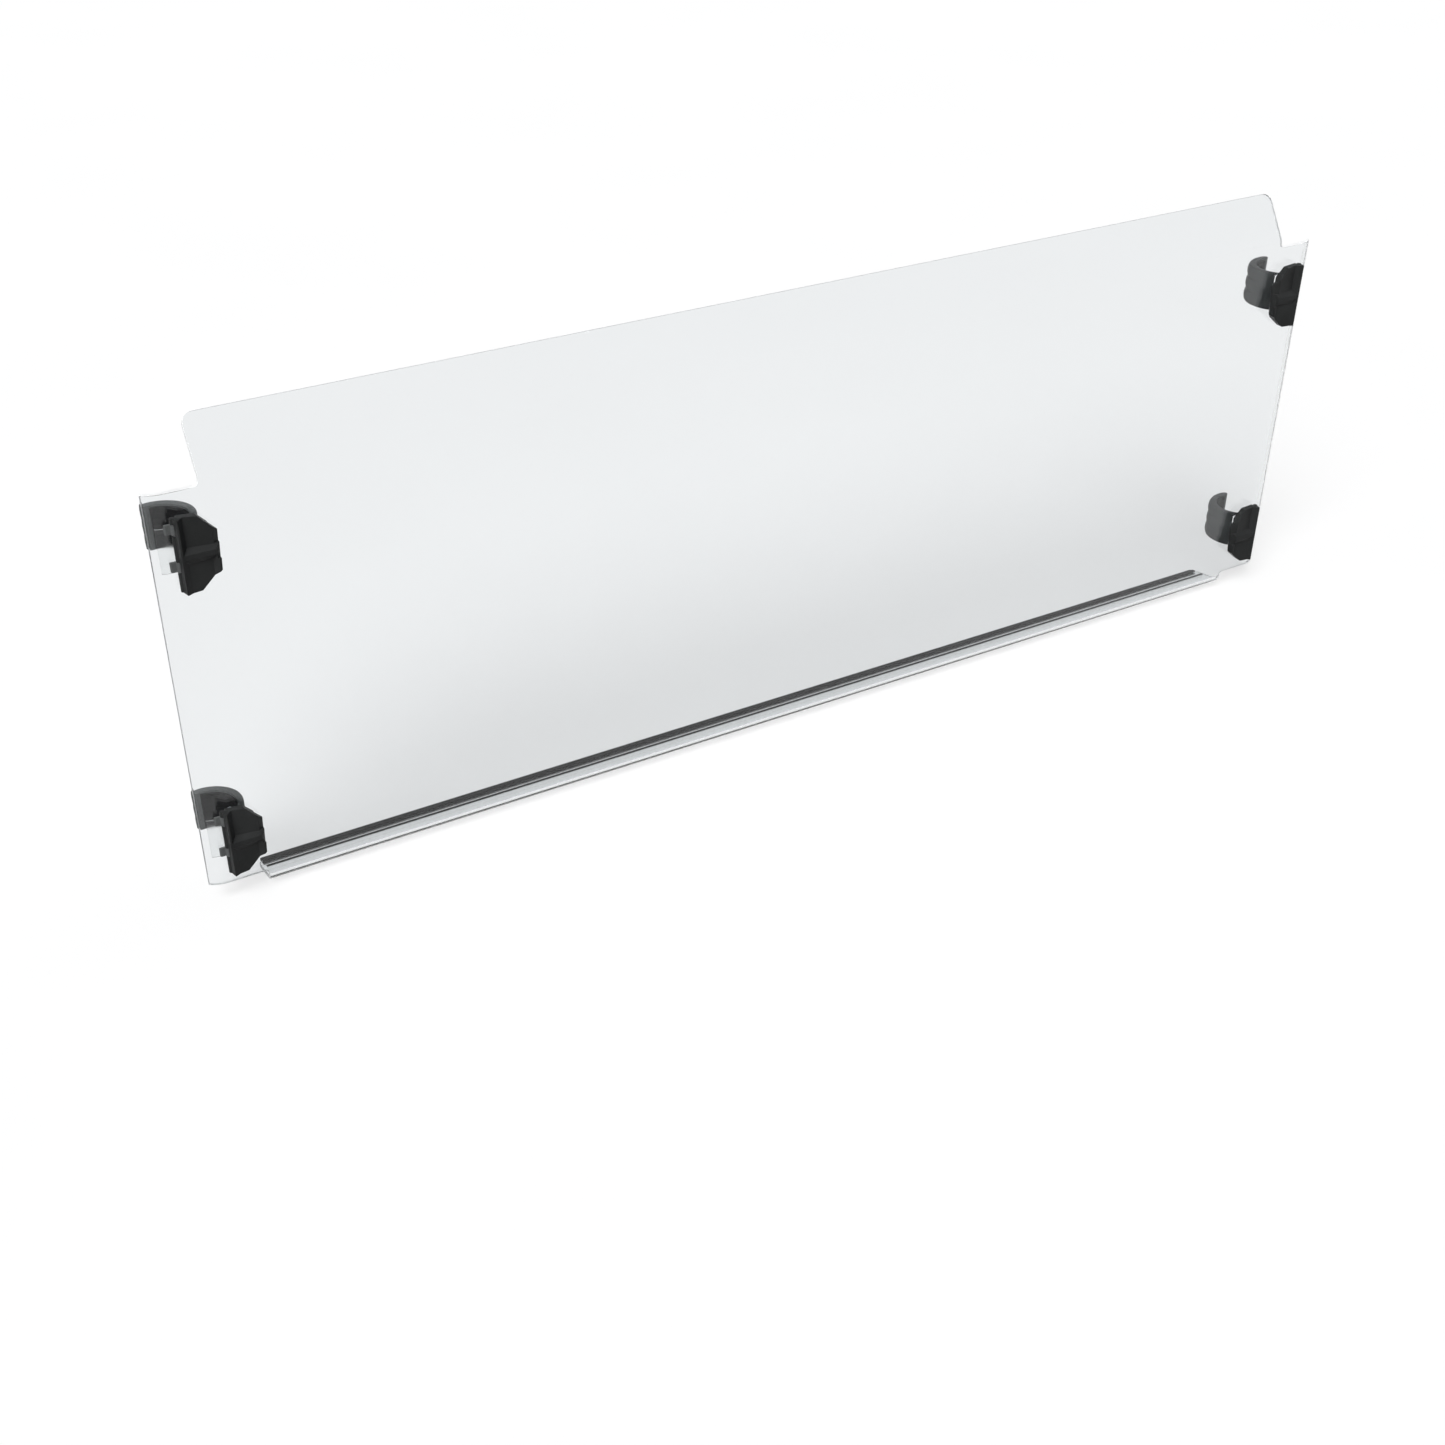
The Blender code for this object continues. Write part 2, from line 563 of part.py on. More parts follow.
def grip_pad_solid():
    """The rubber pad on the panel's front face, flat behind the grip and then following the rolled side."""
    grip = (-CLAMP_INSET, -GRIP_AHEAD)
    inner = GRIP_PAD_WIDTH - CLAMP_INSET
    far_side = arc(grip, GRIP_AHEAD - SHEET - SEAT_GAP, 90, 90 + GRIP_PAD_TURN, 3)
    near_side = arc(grip, GRIP_RADIUS + SEAT_GAP, 90 + GRIP_PAD_TURN, 90, 3)
    outline = [(inner, -(SHEET + SEAT_GAP)), *far_side, *near_side, (inner, -GRIP_PAD_FRONT)]
    return slab(outline, JAW_FOOT, JAW_TOP, 2)


def jaw_slot():
    """How far in u the jaw reaches inside the sheet while it swings, with clearance, as low and high."""
    reach = []
    for step in range(int(JAW_SWING) + 1):
        turn = radians(JAW_SWING * step / int(JAW_SWING))
        path = jaw_section(JAW_FOOT + JAW_HEIGHT / LOBES / 2)
        for (u0, f0), (u1, f1) in zip(path, path[1:]):
            for part in range(5):
                a = u0 + (u1 - u0) * part / 5 - JAW_AXIS_INSET
                b = f0 + (f1 - f0) * part / 5 + JAW_AXIS_HEIGHT
                ahead = b * cos(turn) - a * sin(turn) - JAW_AXIS_HEIGHT
                if -SWING_GAP <= ahead <= SHEET + SWING_GAP:
                    reach.append(a * cos(turn) + b * sin(turn) + JAW_AXIS_INSET)
    return min(reach) - SWING_GAP, max(reach) + SWING_GAP


def slot_cutter():
    """The rounded window that the jaw swings in."""
    low, high = jaw_slot()
    r = SLOT_CORNER
    top = WINDOW_TOP - r
    foot = WINDOW_FOOT + r
    corners = [((high - r, top), 0), ((low + r, top), 90), ((low + r, foot), 180), ((high - r, foot), 270)]
    outline = [point for centre, start in corners for point in arc(centre, r, start, start + 90, 3)]
    return slab(outline, -FAR / 2, FAR / 2, 1)


def clamp_frame(side, level):
    """From a clamp's own axes to the panel's: side and level are -1 or 1."""
    return (Matrix.Translation((side * CLAMP_X, REAR_Y, level * CLAMP_Z))
            @ Matrix.Diagonal((-side, -1.0, 1.0, 1.0)))


def into_frame(bm, frame):
    """Move a solid from a clamp's axes to the panel's, turning a mirrored one the right way out."""
    bmesh.ops.transform(bm, matrix=frame, verts=bm.verts)
    if frame.determinant() < 0:
        bmesh.ops.reverse_faces(bm, faces=bm.faces)
    return bm


def sheet_bend(bm, edge, centre, axis, angle, steps):
    """Turn a border edge of the sheet about an axis, and give back its new border edge."""
    spun = bmesh.ops.spin(bm, geom=[edge, *edge.verts], cent=centre, axis=axis, angle=radians(angle), steps=steps)
    return next(g for g in spun["geom_last"] if isinstance(g, bmesh.types.BMEdge))


def sheet_flange(bm, edge, direction, length):
    """Extend a border edge of the sheet in a straight line."""
    grown = bmesh.ops.extrude_edge_only(bm, edges=[edge])
    moved = [g for g in grown["geom"] if isinstance(g, bmesh.types.BMVert)]
    bmesh.ops.translate(bm, verts=moved, vec=Vector(direction) * length)
    return moved


def flange_axes(angle):
    """Direction along a bottom flange and its upward normal, in y and z."""
    turn = radians(angle)
    return Vector((0, sin(turn), -cos(turn))), Vector((0, cos(turn), sin(turn)))


def bottom_edge():
    """The front edge of the bottom flange, on its lower face."""
    turn = radians(BOTTOM_ANGLE)
    start = Vector((0, REAR_Y + OUTER_BEND * (1 - cos(turn)), BOTTOM_BEND - OUTER_BEND * sin(turn)))
    return start + flange_axes(BOTTOM_ANGLE)[0] * BOTTOM_FLANGE


def panel_outline():
    """Right half of the flat face in x and z, from the top bend to the bottom bend."""
    top = TOP_WIDTH / 2
    bottom = BOTTOM_WIDTH / 2
    upper = arc((top + NOTCH_FILLET, TOP_BEND), NOTCH_FILLET, 180, 270, 4)
    lower = arc((bottom + NOTCH_FILLET, BOTTOM_BEND), NOTCH_FILLET, 90, 180, 4)
    return [*upper, (GRIP_X, SIDE_TOP), (GRIP_X, SIDE_BOTTOM), *lower]


def make_panel():
    """The clear sheet: flat face, top and bottom flanges, rolled sides, then slots and screw holes."""
    bm = bmesh.new()
    right = panel_outline()
    outline = right + [(-x, z) for x, z in reversed(right)]
    corners = [bm.verts.new((x, REAR_Y, z)) for x, z in outline]
    bm.faces.new(corners)
    bm.edges.ensure_lookup_table()

    def border(first, second):
        return bm.edges.get((corners[first], corners[second]))

    count = len(right)
    side_top = next(i for i, (x, _) in enumerate(right) if x == GRIP_X)
    top_edge = border(0, len(corners) - 1)
    bottom_bend = border(count - 1, count)
    right_edge = border(side_top, side_top + 1)
    left_edge = border(len(corners) - 2 - side_top, len(corners) - 1 - side_top)
    top_edge = sheet_bend(bm, top_edge, (0, REAR_Y + OUTER_BEND, TOP_BEND), (-1, 0, 0), TOP_ANGLE, BEND_STEPS)
    turn = radians(TOP_ANGLE)
    top_corners = sheet_flange(bm, top_edge, (0, sin(turn), cos(turn)), TOP_FLANGE)
    bottom_bend = sheet_bend(bm, bottom_bend, (0, REAR_Y + OUTER_BEND, BOTTOM_BEND), (1, 0, 0), BOTTOM_ANGLE,
                             BEND_STEPS)
    bottom_corners = sheet_flange(bm, bottom_bend, flange_axes(BOTTOM_ANGLE)[0], BOTTOM_FLANGE)
    sheet_bend(bm, right_edge, (GRIP_X, 0, 0), (0, 0, 1), ROLL_ANGLE, ROLL_STEPS)
    sheet_bend(bm, left_edge, (-GRIP_X, 0, 0), (0, 0, -1), ROLL_ANGLE, ROLL_STEPS)
    for corner, radius in ((top_corners, TOP_CORNER), (bottom_corners, BOTTOM_CORNER)):
        bmesh.ops.bevel(bm, geom=corner, offset=radius, segments=3, profile=0.5, affect="VERTICES")
    bmesh.ops.recalc_face_normals(bm, faces=bm.faces)
    face = max(bm.faces, key=lambda f: f.calc_area())
    if face.normal.y > 0:
        bmesh.ops.reverse_faces(bm, faces=bm.faces)
    panel = new_object("panel", bm)
    wall = panel.modifiers.new("sheet", "SOLIDIFY")
    wall.thickness = SHEET
    wall.offset = -1.0
    wall.use_even_offset = True
    cutter = bmesh.new()
    for side in (-1, 1):
        for level in (-1, 1):
            for tool in [slot_cutter(), *screw_holes(SCREW_DIAMETER / 2 + PIN_GAP)]:
                mesh = bpy.data.meshes.new("window")
                into_frame(tool, clamp_frame(side, level)).to_mesh(mesh)
                cutter.from_mesh(mesh)
                tool.free()
                bpy.data.meshes.remove(mesh)
    windows = new_object("panel_windows", cutter)
    windows.hide_render = True
    windows.display_type = "WIRE"
    holes = panel.modifiers.new("windows", "BOOLEAN")
    holes.operation = "DIFFERENCE"
    holes.object = windows
    holes.solver = "EXACT"
    dress(panel, "clear_polycarbonate", 20)


def seal_profile():
    """The bulb seal across the flange: a channel on the sheet's edge with a round bulb ahead of it."""
    under = -SEAT_GAP
    over = SHEET + SEAT_GAP
    front = SEAT_GAP + SEAL_WALL
    bulb = arc((front + SEAL_BULB / 2 - SEAL_WALL / 2, SHEET / 2), SEAL_BULB / 2, -120, 120, 12)
    return [
        (-SEAL_LIP, over), (SEAT_GAP, over), (SEAT_GAP, under), (-SEAL_LIP, under), (-SEAL_LIP, under - SEAL_WALL),
        (SEAT_GAP, under - SEAL_WALL), (front, under), *bulb, (front, over), (SEAT_GAP, over + SEAL_WALL),
        (-SEAL_LIP, over + SEAL_WALL),
    ], front + SEAL_BULB / 2 - SEAL_WALL / 2


def along_bottom(points):
    """A strip the length of the bottom flange, from a profile of points along and above the flange."""
    edge = bottom_edge()
    ahead, up = flange_axes(BOTTOM_ANGLE)
    places = [edge + ahead * s + up * n for s, n in points]
    half = BOTTOM_WIDTH / 2 - SEAL_END
    return slab([(p.y, p.z) for p in places], -half, half, 0)


def make_seal():
    """The bulb seal and the flat strip beside it."""
    profile, centre = seal_profile()
    edge = bottom_edge()
    ahead, up = flange_axes(BOTTOM_ANGLE)
    middle = edge + ahead * centre + up * (SHEET / 2)
    bore = rod(middle, (1, 0, 0), SEAL_BORE / 2, -FAR * 5, FAR * 5, 12)
    seal = new_object("bottom_seal", worked(along_bottom(profile), *cut(bore)))
    dress(seal, "seal_rubber", 40)
    start = -SEAL_LIP - STRIP_SPACE
    foot = SHEET + SEAT_GAP
    strip = along_bottom([(start - STRIP_WIDTH, foot), (start, foot), (start, foot + STRIP_THICKNESS),
                          (start - STRIP_WIDTH, foot + STRIP_THICKNESS)])
    dress(new_object("seal_strip", strip), "seal_rubber", 40)


def clamp_pieces():
    """Each piece of a clamp in its own axes: name, solid, point of origin and finish."""
    still = Vector((0.0, 0.0, 0.0))
    pieces = [
        ("base", base_solid(), still, "grey_nylon"),
        ("base_pad", pad_solid(), still, "pad_rubber"),
        ("lever", lever_solid(), HINGE_AXIS, "black_nylon"),
        ("lever_pin", pin_solid(HINGE_AXIS, HINGE_PIN, LOWER_LUG[0], UPPER_LUG[1]), HINGE_AXIS, "zinc_steel"),
        ("jaw", jaw_solid(), JAW_AXIS, "grey_nylon"),
        ("jaw_pin", pin_solid(JAW_AXIS, JAW_PIN, LOWER_EAR[0], UPPER_EAR[1]), JAW_AXIS, "zinc_steel"),
        ("jaw_liner", liner_solid(), JAW_AXIS, "pad_rubber"),
        ("grip_pad", grip_pad_solid(), still, "pad_rubber"),
    ]
    for word, w in (("upper", SCREW_RISE), ("lower", -SCREW_RISE)):
        pieces.append((f"{word}_screw", screw_solid(w), still, "zinc_steel"))
        pieces.append((f"{word}_nut", nut_solid(w), still, "zinc_steel"))
    return pieces


def make_clamps():
    """Four clamps from one set of pieces, each under an empty at its own corner."""
    pieces = clamp_pieces()
    for side, side_name in ((-1, "left"), (1, "right")):
        for level, level_name in ((1, "upper"), (-1, "lower")):
            frame = clamp_frame(side, level)
            corner = bpy.data.objects.new(f"{side_name}_{level_name}_clamp", None)
            corner.location = frame.translation
            bpy.context.scene.collection.objects.link(corner)
            turn = frame.to_3x3().to_4x4()
            for name, solid, origin, material in pieces:
                bm = solid.copy()
                bmesh.ops.translate(bm, verts=bm.verts, vec=-origin)
                obj = new_object(f"{side_name}_{level_name}_{name}", into_frame(bm, turn))
                obj.parent = corner
                obj.location = turn @ origin
                dress(obj, material, 30)
    for _, solid, _, _ in pieces:
        solid.free()


def main():
    for obj in list(bpy.data.objects):
        bpy.data.objects.remove(obj)
    make_panel()
    make_seal()
    make_clamps()
    low, high = jaw_slot()
    print(f"jaw slot from {low * 1000:.1f} to {high * 1000:.1f} mm inward of the clamp's centre")


main()
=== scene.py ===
# %% [markdown]
# # A clear rear panel with four quick-release clamps
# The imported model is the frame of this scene: metres, +Z up, +Y forward, with the origin midway between the
# two upright grips. The box of its solids is kept at once, so that the finished pieces can be measured
# against it.

# %% Load the frame
import json
from math import atan2, cos, degrees, pi, radians, sin, sqrt

import bmesh
import bpy
from mathutils import Matrix, Vector

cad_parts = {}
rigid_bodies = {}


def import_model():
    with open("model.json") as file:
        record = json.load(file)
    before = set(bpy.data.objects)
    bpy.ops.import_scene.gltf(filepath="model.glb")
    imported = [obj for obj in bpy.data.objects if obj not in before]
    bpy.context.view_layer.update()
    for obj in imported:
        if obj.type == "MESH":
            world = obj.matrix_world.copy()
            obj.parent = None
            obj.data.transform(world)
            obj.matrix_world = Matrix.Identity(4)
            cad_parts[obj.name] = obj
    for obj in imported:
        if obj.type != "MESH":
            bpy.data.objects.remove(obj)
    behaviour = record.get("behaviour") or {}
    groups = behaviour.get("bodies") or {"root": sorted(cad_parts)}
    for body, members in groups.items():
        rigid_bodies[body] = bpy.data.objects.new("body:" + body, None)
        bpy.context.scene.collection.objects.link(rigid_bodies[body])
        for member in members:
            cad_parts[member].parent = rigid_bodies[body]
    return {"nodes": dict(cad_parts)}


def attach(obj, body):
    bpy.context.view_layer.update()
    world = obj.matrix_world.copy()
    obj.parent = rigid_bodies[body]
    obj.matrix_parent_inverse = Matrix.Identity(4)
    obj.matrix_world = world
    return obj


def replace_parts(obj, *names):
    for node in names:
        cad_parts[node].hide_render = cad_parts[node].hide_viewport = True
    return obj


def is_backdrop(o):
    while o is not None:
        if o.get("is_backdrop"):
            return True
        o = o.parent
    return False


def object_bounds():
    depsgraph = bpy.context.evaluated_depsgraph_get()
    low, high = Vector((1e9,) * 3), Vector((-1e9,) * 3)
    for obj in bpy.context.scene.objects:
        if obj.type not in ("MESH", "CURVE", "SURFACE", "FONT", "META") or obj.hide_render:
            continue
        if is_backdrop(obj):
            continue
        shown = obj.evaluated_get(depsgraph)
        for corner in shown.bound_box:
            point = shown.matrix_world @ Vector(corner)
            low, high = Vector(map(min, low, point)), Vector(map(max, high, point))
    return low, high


for spare in list(bpy.data.objects):
    bpy.data.objects.remove(spare)
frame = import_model()
nodes = frame["nodes"]
cad_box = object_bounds()
scene = bpy.context.scene
print(len(nodes), "CAD nodes, from", cad_box[0], "to", cad_box[1])

# %% [markdown]
# ## Camera
# The view is from behind, to the left and above. A camera is easiest to place by three directions at right
# angles: to the right, up and ahead. They come from a heading, a pitch and a small roll, and fill the columns
# of its matrix.

# %% Place the camera
PICTURE_SIZE = 1445
FOCAL_PIXELS = 1870.8
SENSOR = 36.0
FARTHEST = 50.0
CAMERA_PLACE = Vector((-1.0085, -1.5565, 0.9518))
CAMERA_TURNS = (30.51, 33.16, 0.52)

heading, pitch, roll = (radians(turn) for turn in CAMERA_TURNS)
ahead = Vector((sin(heading) * cos(pitch), cos(heading) * cos(pitch), -sin(pitch)))
level = Vector((cos(heading), -sin(heading), 0.0))
raised = level.cross(ahead)
right = level * cos(roll) + raised * sin(roll)
up = raised * cos(roll) - level * sin(roll)
lens = bpy.data.cameras.new("view")
lens.sensor_width = SENSOR
lens.lens = SENSOR * FOCAL_PIXELS / PICTURE_SIZE
lens.clip_end = FARTHEST
camera = bpy.data.objects.new("view", lens)
turned = Matrix((right, up, -ahead)).transposed()
camera.matrix_world = Matrix.Translation(CAMERA_PLACE) @ turned.to_4x4()
scene.collection.objects.link(camera)
scene.camera = camera
print("lens", round(lens.lens, 2), "mm")

# %% [markdown]
# ## Nodes and colours
# Every finish below is a small tree of nodes. One function turns an sRGB colour, as a colour picker shows it,
# to the linear light that Blender works in. One adds a node, sets it and links it. One starts a material, and
# one links the three things that vary over each piece: colour, roughness and bump. Noise seldom leaves the
# middle of its range, so the span that it does use is kept for the ramps that read it.


# %% Functions for finishes
NOISE_SPAN = {"From Min": 0.3, "From Max": 0.7}


def linear(code):
    """An sRGB hex colour as linear red, green, blue and alpha."""
    channels = [int(code[i:i + 2], 16) / 255 for i in (0, 2, 4)]
    return [c / 12.92 if c <= 0.04045 else ((c + 0.055) / 1.055) ** 2.4 for c in channels] + [1.0]


def add(tree, kind, sockets, **settings):
    """A node with its settings, whose sockets take a value or the output of another node."""
    node = tree.nodes.new(kind)
    for name, value in settings.items():
        setattr(node, name, value)
    for name, value in sockets.items():
        if isinstance(value, bpy.types.NodeSocket):
            tree.links.new(value, node.inputs[name])
        else:
            node.inputs[name].default_value = value
    return node


def new_material(name):
    """An empty material, with its tree, its shader and its place in metres."""
    material = bpy.data.materials.new(name)
    material.use_nodes = True
    tree = material.node_tree
    place = add(tree, "ShaderNodeTexCoord", {}).outputs["Object"]
    return material, tree, tree.nodes["Principled BSDF"], place


def dress(tree, shader, tone, gloss, relief):
    """Link the colour, the roughness and the bump of a finish to its shader."""
    tree.links.new(tone, shader.inputs["Base Color"])
    tree.links.new(gloss, shader.inputs["Roughness"])
    tree.links.new(relief, shader.inputs["Normal"])


print("black is", linear("000000"), "and mid grey is", round(linear("808080")[0], 3))

# %% [markdown]
# ## Floor and light
# The panel stands on a plain pale floor. Pure white behind a product comes from a glow of floor and sky that
# only the camera, reflections and the clear sheet see, so the object gets no more light from it and the shadow
# stays. The light itself is a sky that is brighter overhead and one broad soft sun from the upper left, so that
# each facet of the black covers catches a different share of it.


# %% Floor
FLOOR_HALF = 14.0
FLOOR_GLOW = 0.67
FLOOR_PATCHES_PER_METRE = 3.0


def seen_by_eye(tree):
    """One for a ray from the camera, a mirror or the clear sheet, and nought for light on the object."""
    path = add(tree, "ShaderNodeLightPath", {}).outputs
    direct = add(tree, "ShaderNodeMath", {0: path["Is Camera Ray"], 1: path["Is Transmission Ray"]},
                 operation="MAXIMUM")
    return add(tree, "ShaderNodeMath", {0: direct.outputs[0], 1: path["Is Glossy Ray"]},
               operation="MAXIMUM").outputs[0]


def as_object(name, bm, *materials):
    """An object in the scene from a bmesh, which is freed, with its materials."""
    mesh = bpy.data.meshes.new(name)
    bm.to_mesh(mesh)
    bm.free()
    for material in materials:
        mesh.materials.append(material)
    made = bpy.data.objects.new(name, mesh)
    scene.collection.objects.link(made)
    return made


floor_material, tree, shader, place = new_material("pale_floor")
shader.inputs["Roughness"].default_value = 0.9
shader.inputs["Specular IOR Level"].default_value = 0.0
mottle = add(tree, "ShaderNodeTexNoise", {"Vector": place, "Scale": FLOOR_PATCHES_PER_METRE, "Detail": 2.0})
tint = add(tree, "ShaderNodeMix",
           {"Factor": mottle.outputs["Fac"], "A": linear("8E8E8E"), "B": linear("929292")}, data_type="RGBA")
tree.links.new(tint.outputs["Result"], shader.inputs["Base Color"])
glow = add(tree, "ShaderNodeMath", {0: seen_by_eye(tree), 1: FLOOR_GLOW}, operation="MULTIPLY")
shader.inputs["Emission Color"].default_value = linear("FFFFFF")
tree.links.new(glow.outputs[0], shader.inputs["Emission Strength"])

bm = bmesh.new()
bmesh.ops.create_grid(bm, x_segments=1, y_segments=1, size=FLOOR_HALF)
bmesh.ops.translate(bm, verts=bm.verts, vec=(0, 0, cad_box[0].z))
floor = as_object("floor", bm, floor_material)
floor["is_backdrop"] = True
print("floor at", round(cad_box[0].z * 1000, 1), "mm")

# %% Light
SKY_LOW, SKY_HIGH = 0.08, 0.4
SUN_FROM = Vector((-0.66, -0.6, 1.0))
SUN_POWER, SUN_WIDTH = 3.8, 36.0

world = bpy.data.worlds.new("soft_sky")
scene.world = world
world.use_nodes = True
tree = world.node_tree
sky = tree.nodes["Background"]
sky.inputs["Color"].default_value = linear("FCFDFF")
ray = add(tree, "ShaderNodeTexCoord", {}).outputs["Generated"]
toward = add(tree, "ShaderNodeSeparateXYZ", {"Vector": ray})
rise = add(tree, "ShaderNodeMapRange", {"Value": toward.outputs["Z"], "To Min": SKY_LOW, "To Max": SKY_HIGH})
white = add(tree, "ShaderNodeMath", {0: seen_by_eye(tree), 1: rise.outputs["Result"]}, operation="MAXIMUM")
tree.links.new(white.outputs[0], sky.inputs["Strength"])
sun = bpy.data.lights.new("soft_sun", "SUN")
sun.energy = SUN_POWER
sun.angle = radians(SUN_WIDTH)
lamp = bpy.data.objects.new("soft_sun", sun)
lamp.rotation_euler = (-SUN_FROM).to_track_quat("-Z", "Y").to_euler()
scene.collection.objects.link(lamp)
scene.view_settings.view_transform = "Standard"
print("a sun", SUN_WIDTH, "degrees wide and a sky from", SKY_LOW, "to", SKY_HIGH)

# %% [markdown]
# ## Clear polycarbonate
# The panel is extruded polycarbonate sheet, bent warm on a line and trimmed on a router. It is water clear,
# refracts with an index of 1.585 and takes a very faint grey from its 5 mm. A hard coat dims its mirror image,
# which a grey specular tint gives. Rolling leaves a slow waviness about 90 mm long, and wiping leaves patches
# that are a trace less glossy. Both are drawn from noise at those sizes. The router leaves the outer edge
# frosted: an attribute of the mesh, one on that edge and nought elsewhere, makes it pale and matt there.

# %% Clear sheet finish
EDGE_MARK = "cut_edge"
EDGE_CLEARNESS, EDGE_FROST = 0.25, 0.5
WAVE_SIZE, WIPE_SIZE = 0.09, 0.14

clear, tree, shader, place = new_material("clear_polycarbonate")
shader.inputs["IOR"].default_value = 1.585
shader.inputs["Specular Tint"].default_value = linear("B0B0B0")
edge = add(tree, "ShaderNodeAttribute", {}, attribute_name=EDGE_MARK).outputs["Fac"]
tint = add(tree, "ShaderNodeMix", {"Factor": edge, "A": linear("ECEEEF"), "B": linear("FAFBFB")},
           data_type="RGBA")
through = add(tree, "ShaderNodeMapRange", {"Value": edge, "To Min": 1.0, "To Max": EDGE_CLEARNESS})
tree.links.new(through.outputs["Result"], shader.inputs["Transmission Weight"])
wipes = add(tree, "ShaderNodeTexNoise",
            {"Vector": place, "Scale": 1 / WIPE_SIZE, "Detail": 3.0, "Distortion": 1.2})
gloss = add(tree, "ShaderNodeMapRange", {"Value": wipes.outputs["Fac"], "From Min": 0.35, "From Max": 0.75,
                                         "To Min": 0.012, "To Max": 0.05})
frost = add(tree, "ShaderNodeMath", {0: edge, 1: EDGE_FROST, 2: gloss.outputs["Result"]},
            operation="MULTIPLY_ADD")
waves = add(tree, "ShaderNodeTexNoise", {"Vector": place, "Scale": 1 / WAVE_SIZE, "Detail": 0.0})
relief = add(tree, "ShaderNodeBump", {"Height": waves.outputs["Fac"], "Strength": 0.05, "Distance": 0.002})
dress(tree, shader, tint.outputs["Result"], frost.outputs[0], relief.outputs["Normal"])
print(clear.name)

# %% [markdown]
# ## Moulded nylon
# Lever, jaw and base are injection moulded in glass-filled nylon: the lever black, the jaw and base dark grey.
# A spark-eroded mould gives the skin a fine pebble of about 0.3 mm. That is finer than a pixel here, so it is
# drawn at 0.8 mm. Flow in the mould and handling shift the tone and the gloss slowly over a few centimetres.


# %% Nylon finishes
FLOW_SIZE, PEBBLE_SIZE = 0.03, 0.0008


def moulded(name, dark, light, depth, bright, dull, speckle):
    """Moulded nylon between two tones and two roughnesses, with a pebble of a given depth."""
    material, tree, shader, place = new_material(name)
    flow = add(tree, "ShaderNodeTexNoise", {"Vector": place, "Scale": 1 / FLOW_SIZE, "Detail": 3.0})
    grain = add(tree, "ShaderNodeTexNoise",
                {"Vector": place, "Scale": 1 / PEBBLE_SIZE, "Detail": 2.0, "Roughness": 0.6})
    share = add(tree, "ShaderNodeMath", {0: grain.outputs["Fac"], 1: speckle, 2: flow.outputs["Fac"]},
                operation="MULTIPLY_ADD")
    spread = add(tree, "ShaderNodeMapRange", {"Value": share.outputs[0], "From Min": 0.35 + speckle * 0.3,
                                              "From Max": 0.65 + speckle * 0.7})
    tone = add(tree, "ShaderNodeMix",
               {"Factor": spread.outputs["Result"], "A": linear(dark), "B": linear(light)}, data_type="RGBA")
    gloss = add(tree, "ShaderNodeMapRange",
                {"Value": flow.outputs["Fac"], **NOISE_SPAN, "To Min": bright, "To Max": dull})
    relief = add(tree, "ShaderNodeBump", {"Height": grain.outputs["Fac"], "Strength": 0.35, "Distance": depth})
    dress(tree, shader, tone.outputs["Result"], gloss.outputs["Result"], relief.outputs["Normal"])
    shader.inputs["IOR"].default_value = 1.53
    shader.inputs["Specular IOR Level"].default_value = 0.06
    return material


black_nylon = moulded("black_nylon", "222323", "2D2E2E", depth=0.0002, bright=0.34, dull=0.46, speckle=0.5)
grey_nylon = moulded("grey_nylon", "4E5050", "5E6060", depth=0.0003, bright=0.5, dull=0.62, speckle=1.0)
print(black_nylon.name, grey_nylon.name)

# %% [markdown]
# ## Rubber
# The seal is extruded EPDM: dead matt, with faint lines along its length from the die. Base pads and liners are
# cut from neoprene sheet, whose skin has a fine felt-like pebble and a grey bloom where it has been handled.


# %% Rubber finishes
BLOOM_SIZE = 0.04
RUBBER_DEPTH = 0.0002


def rubber(name, dark, light, stretch, size):
    """Matt rubber whose pattern of a given size is drawn out by stretch along x, y and z."""
    material, tree, shader, place = new_material(name)
    drawn = add(tree, "ShaderNodeMapping", {"Vector": place, "Scale": stretch}).outputs["Vector"]
    lines = add(tree, "ShaderNodeTexNoise", {"Vector": drawn, "Scale": 1 / size, "Detail": 2.0})
    bloom = add(tree, "ShaderNodeTexNoise", {"Vector": place, "Scale": 1 / BLOOM_SIZE, "Detail": 4.0})
    spread = add(tree, "ShaderNodeMapRange",
                 {"Value": bloom.outputs["Fac"], "From Min": 0.35, "From Max": 0.7})
    tone = add(tree, "ShaderNodeMix",
               {"Factor": spread.outputs["Result"], "A": linear(dark), "B": linear(light)}, data_type="RGBA")
    gloss = add(tree, "ShaderNodeMapRange",
                {"Value": lines.outputs["Fac"], **NOISE_SPAN, "To Min": 0.68, "To Max": 0.86})
    relief = add(tree, "ShaderNodeBump",
                 {"Height": lines.outputs["Fac"], "Strength": 0.4, "Distance": RUBBER_DEPTH})
    dress(tree, shader, tone.outputs["Result"], gloss.outputs["Result"], relief.outputs["Normal"])
    shader.inputs["IOR"].default_value = 1.52
    shader.inputs["Specular IOR Level"].default_value = 0.1
    return material


seal_rubber = rubber("seal_rubber", "141415", "1E1F20", stretch=(0.02, 1.0, 1.0), size=0.0012)
pad_rubber = rubber("pad_rubber", "151516", "222223", stretch=(1.0, 1.0, 1.0), size=0.0011)
print(seal_rubber.name, pad_rubber.name)

# %% [markdown]
# ## Clear urethane
# The pads between sheet and grip are cast from clear soft urethane, as bumpers for glass are, so that they
# hardly show through the sheet. Casting leaves the skin a little uneven and hazy in patches of a centimetre,
# which noise gives.

# %% Clear pad finish
HAZE_SIZE = 0.01

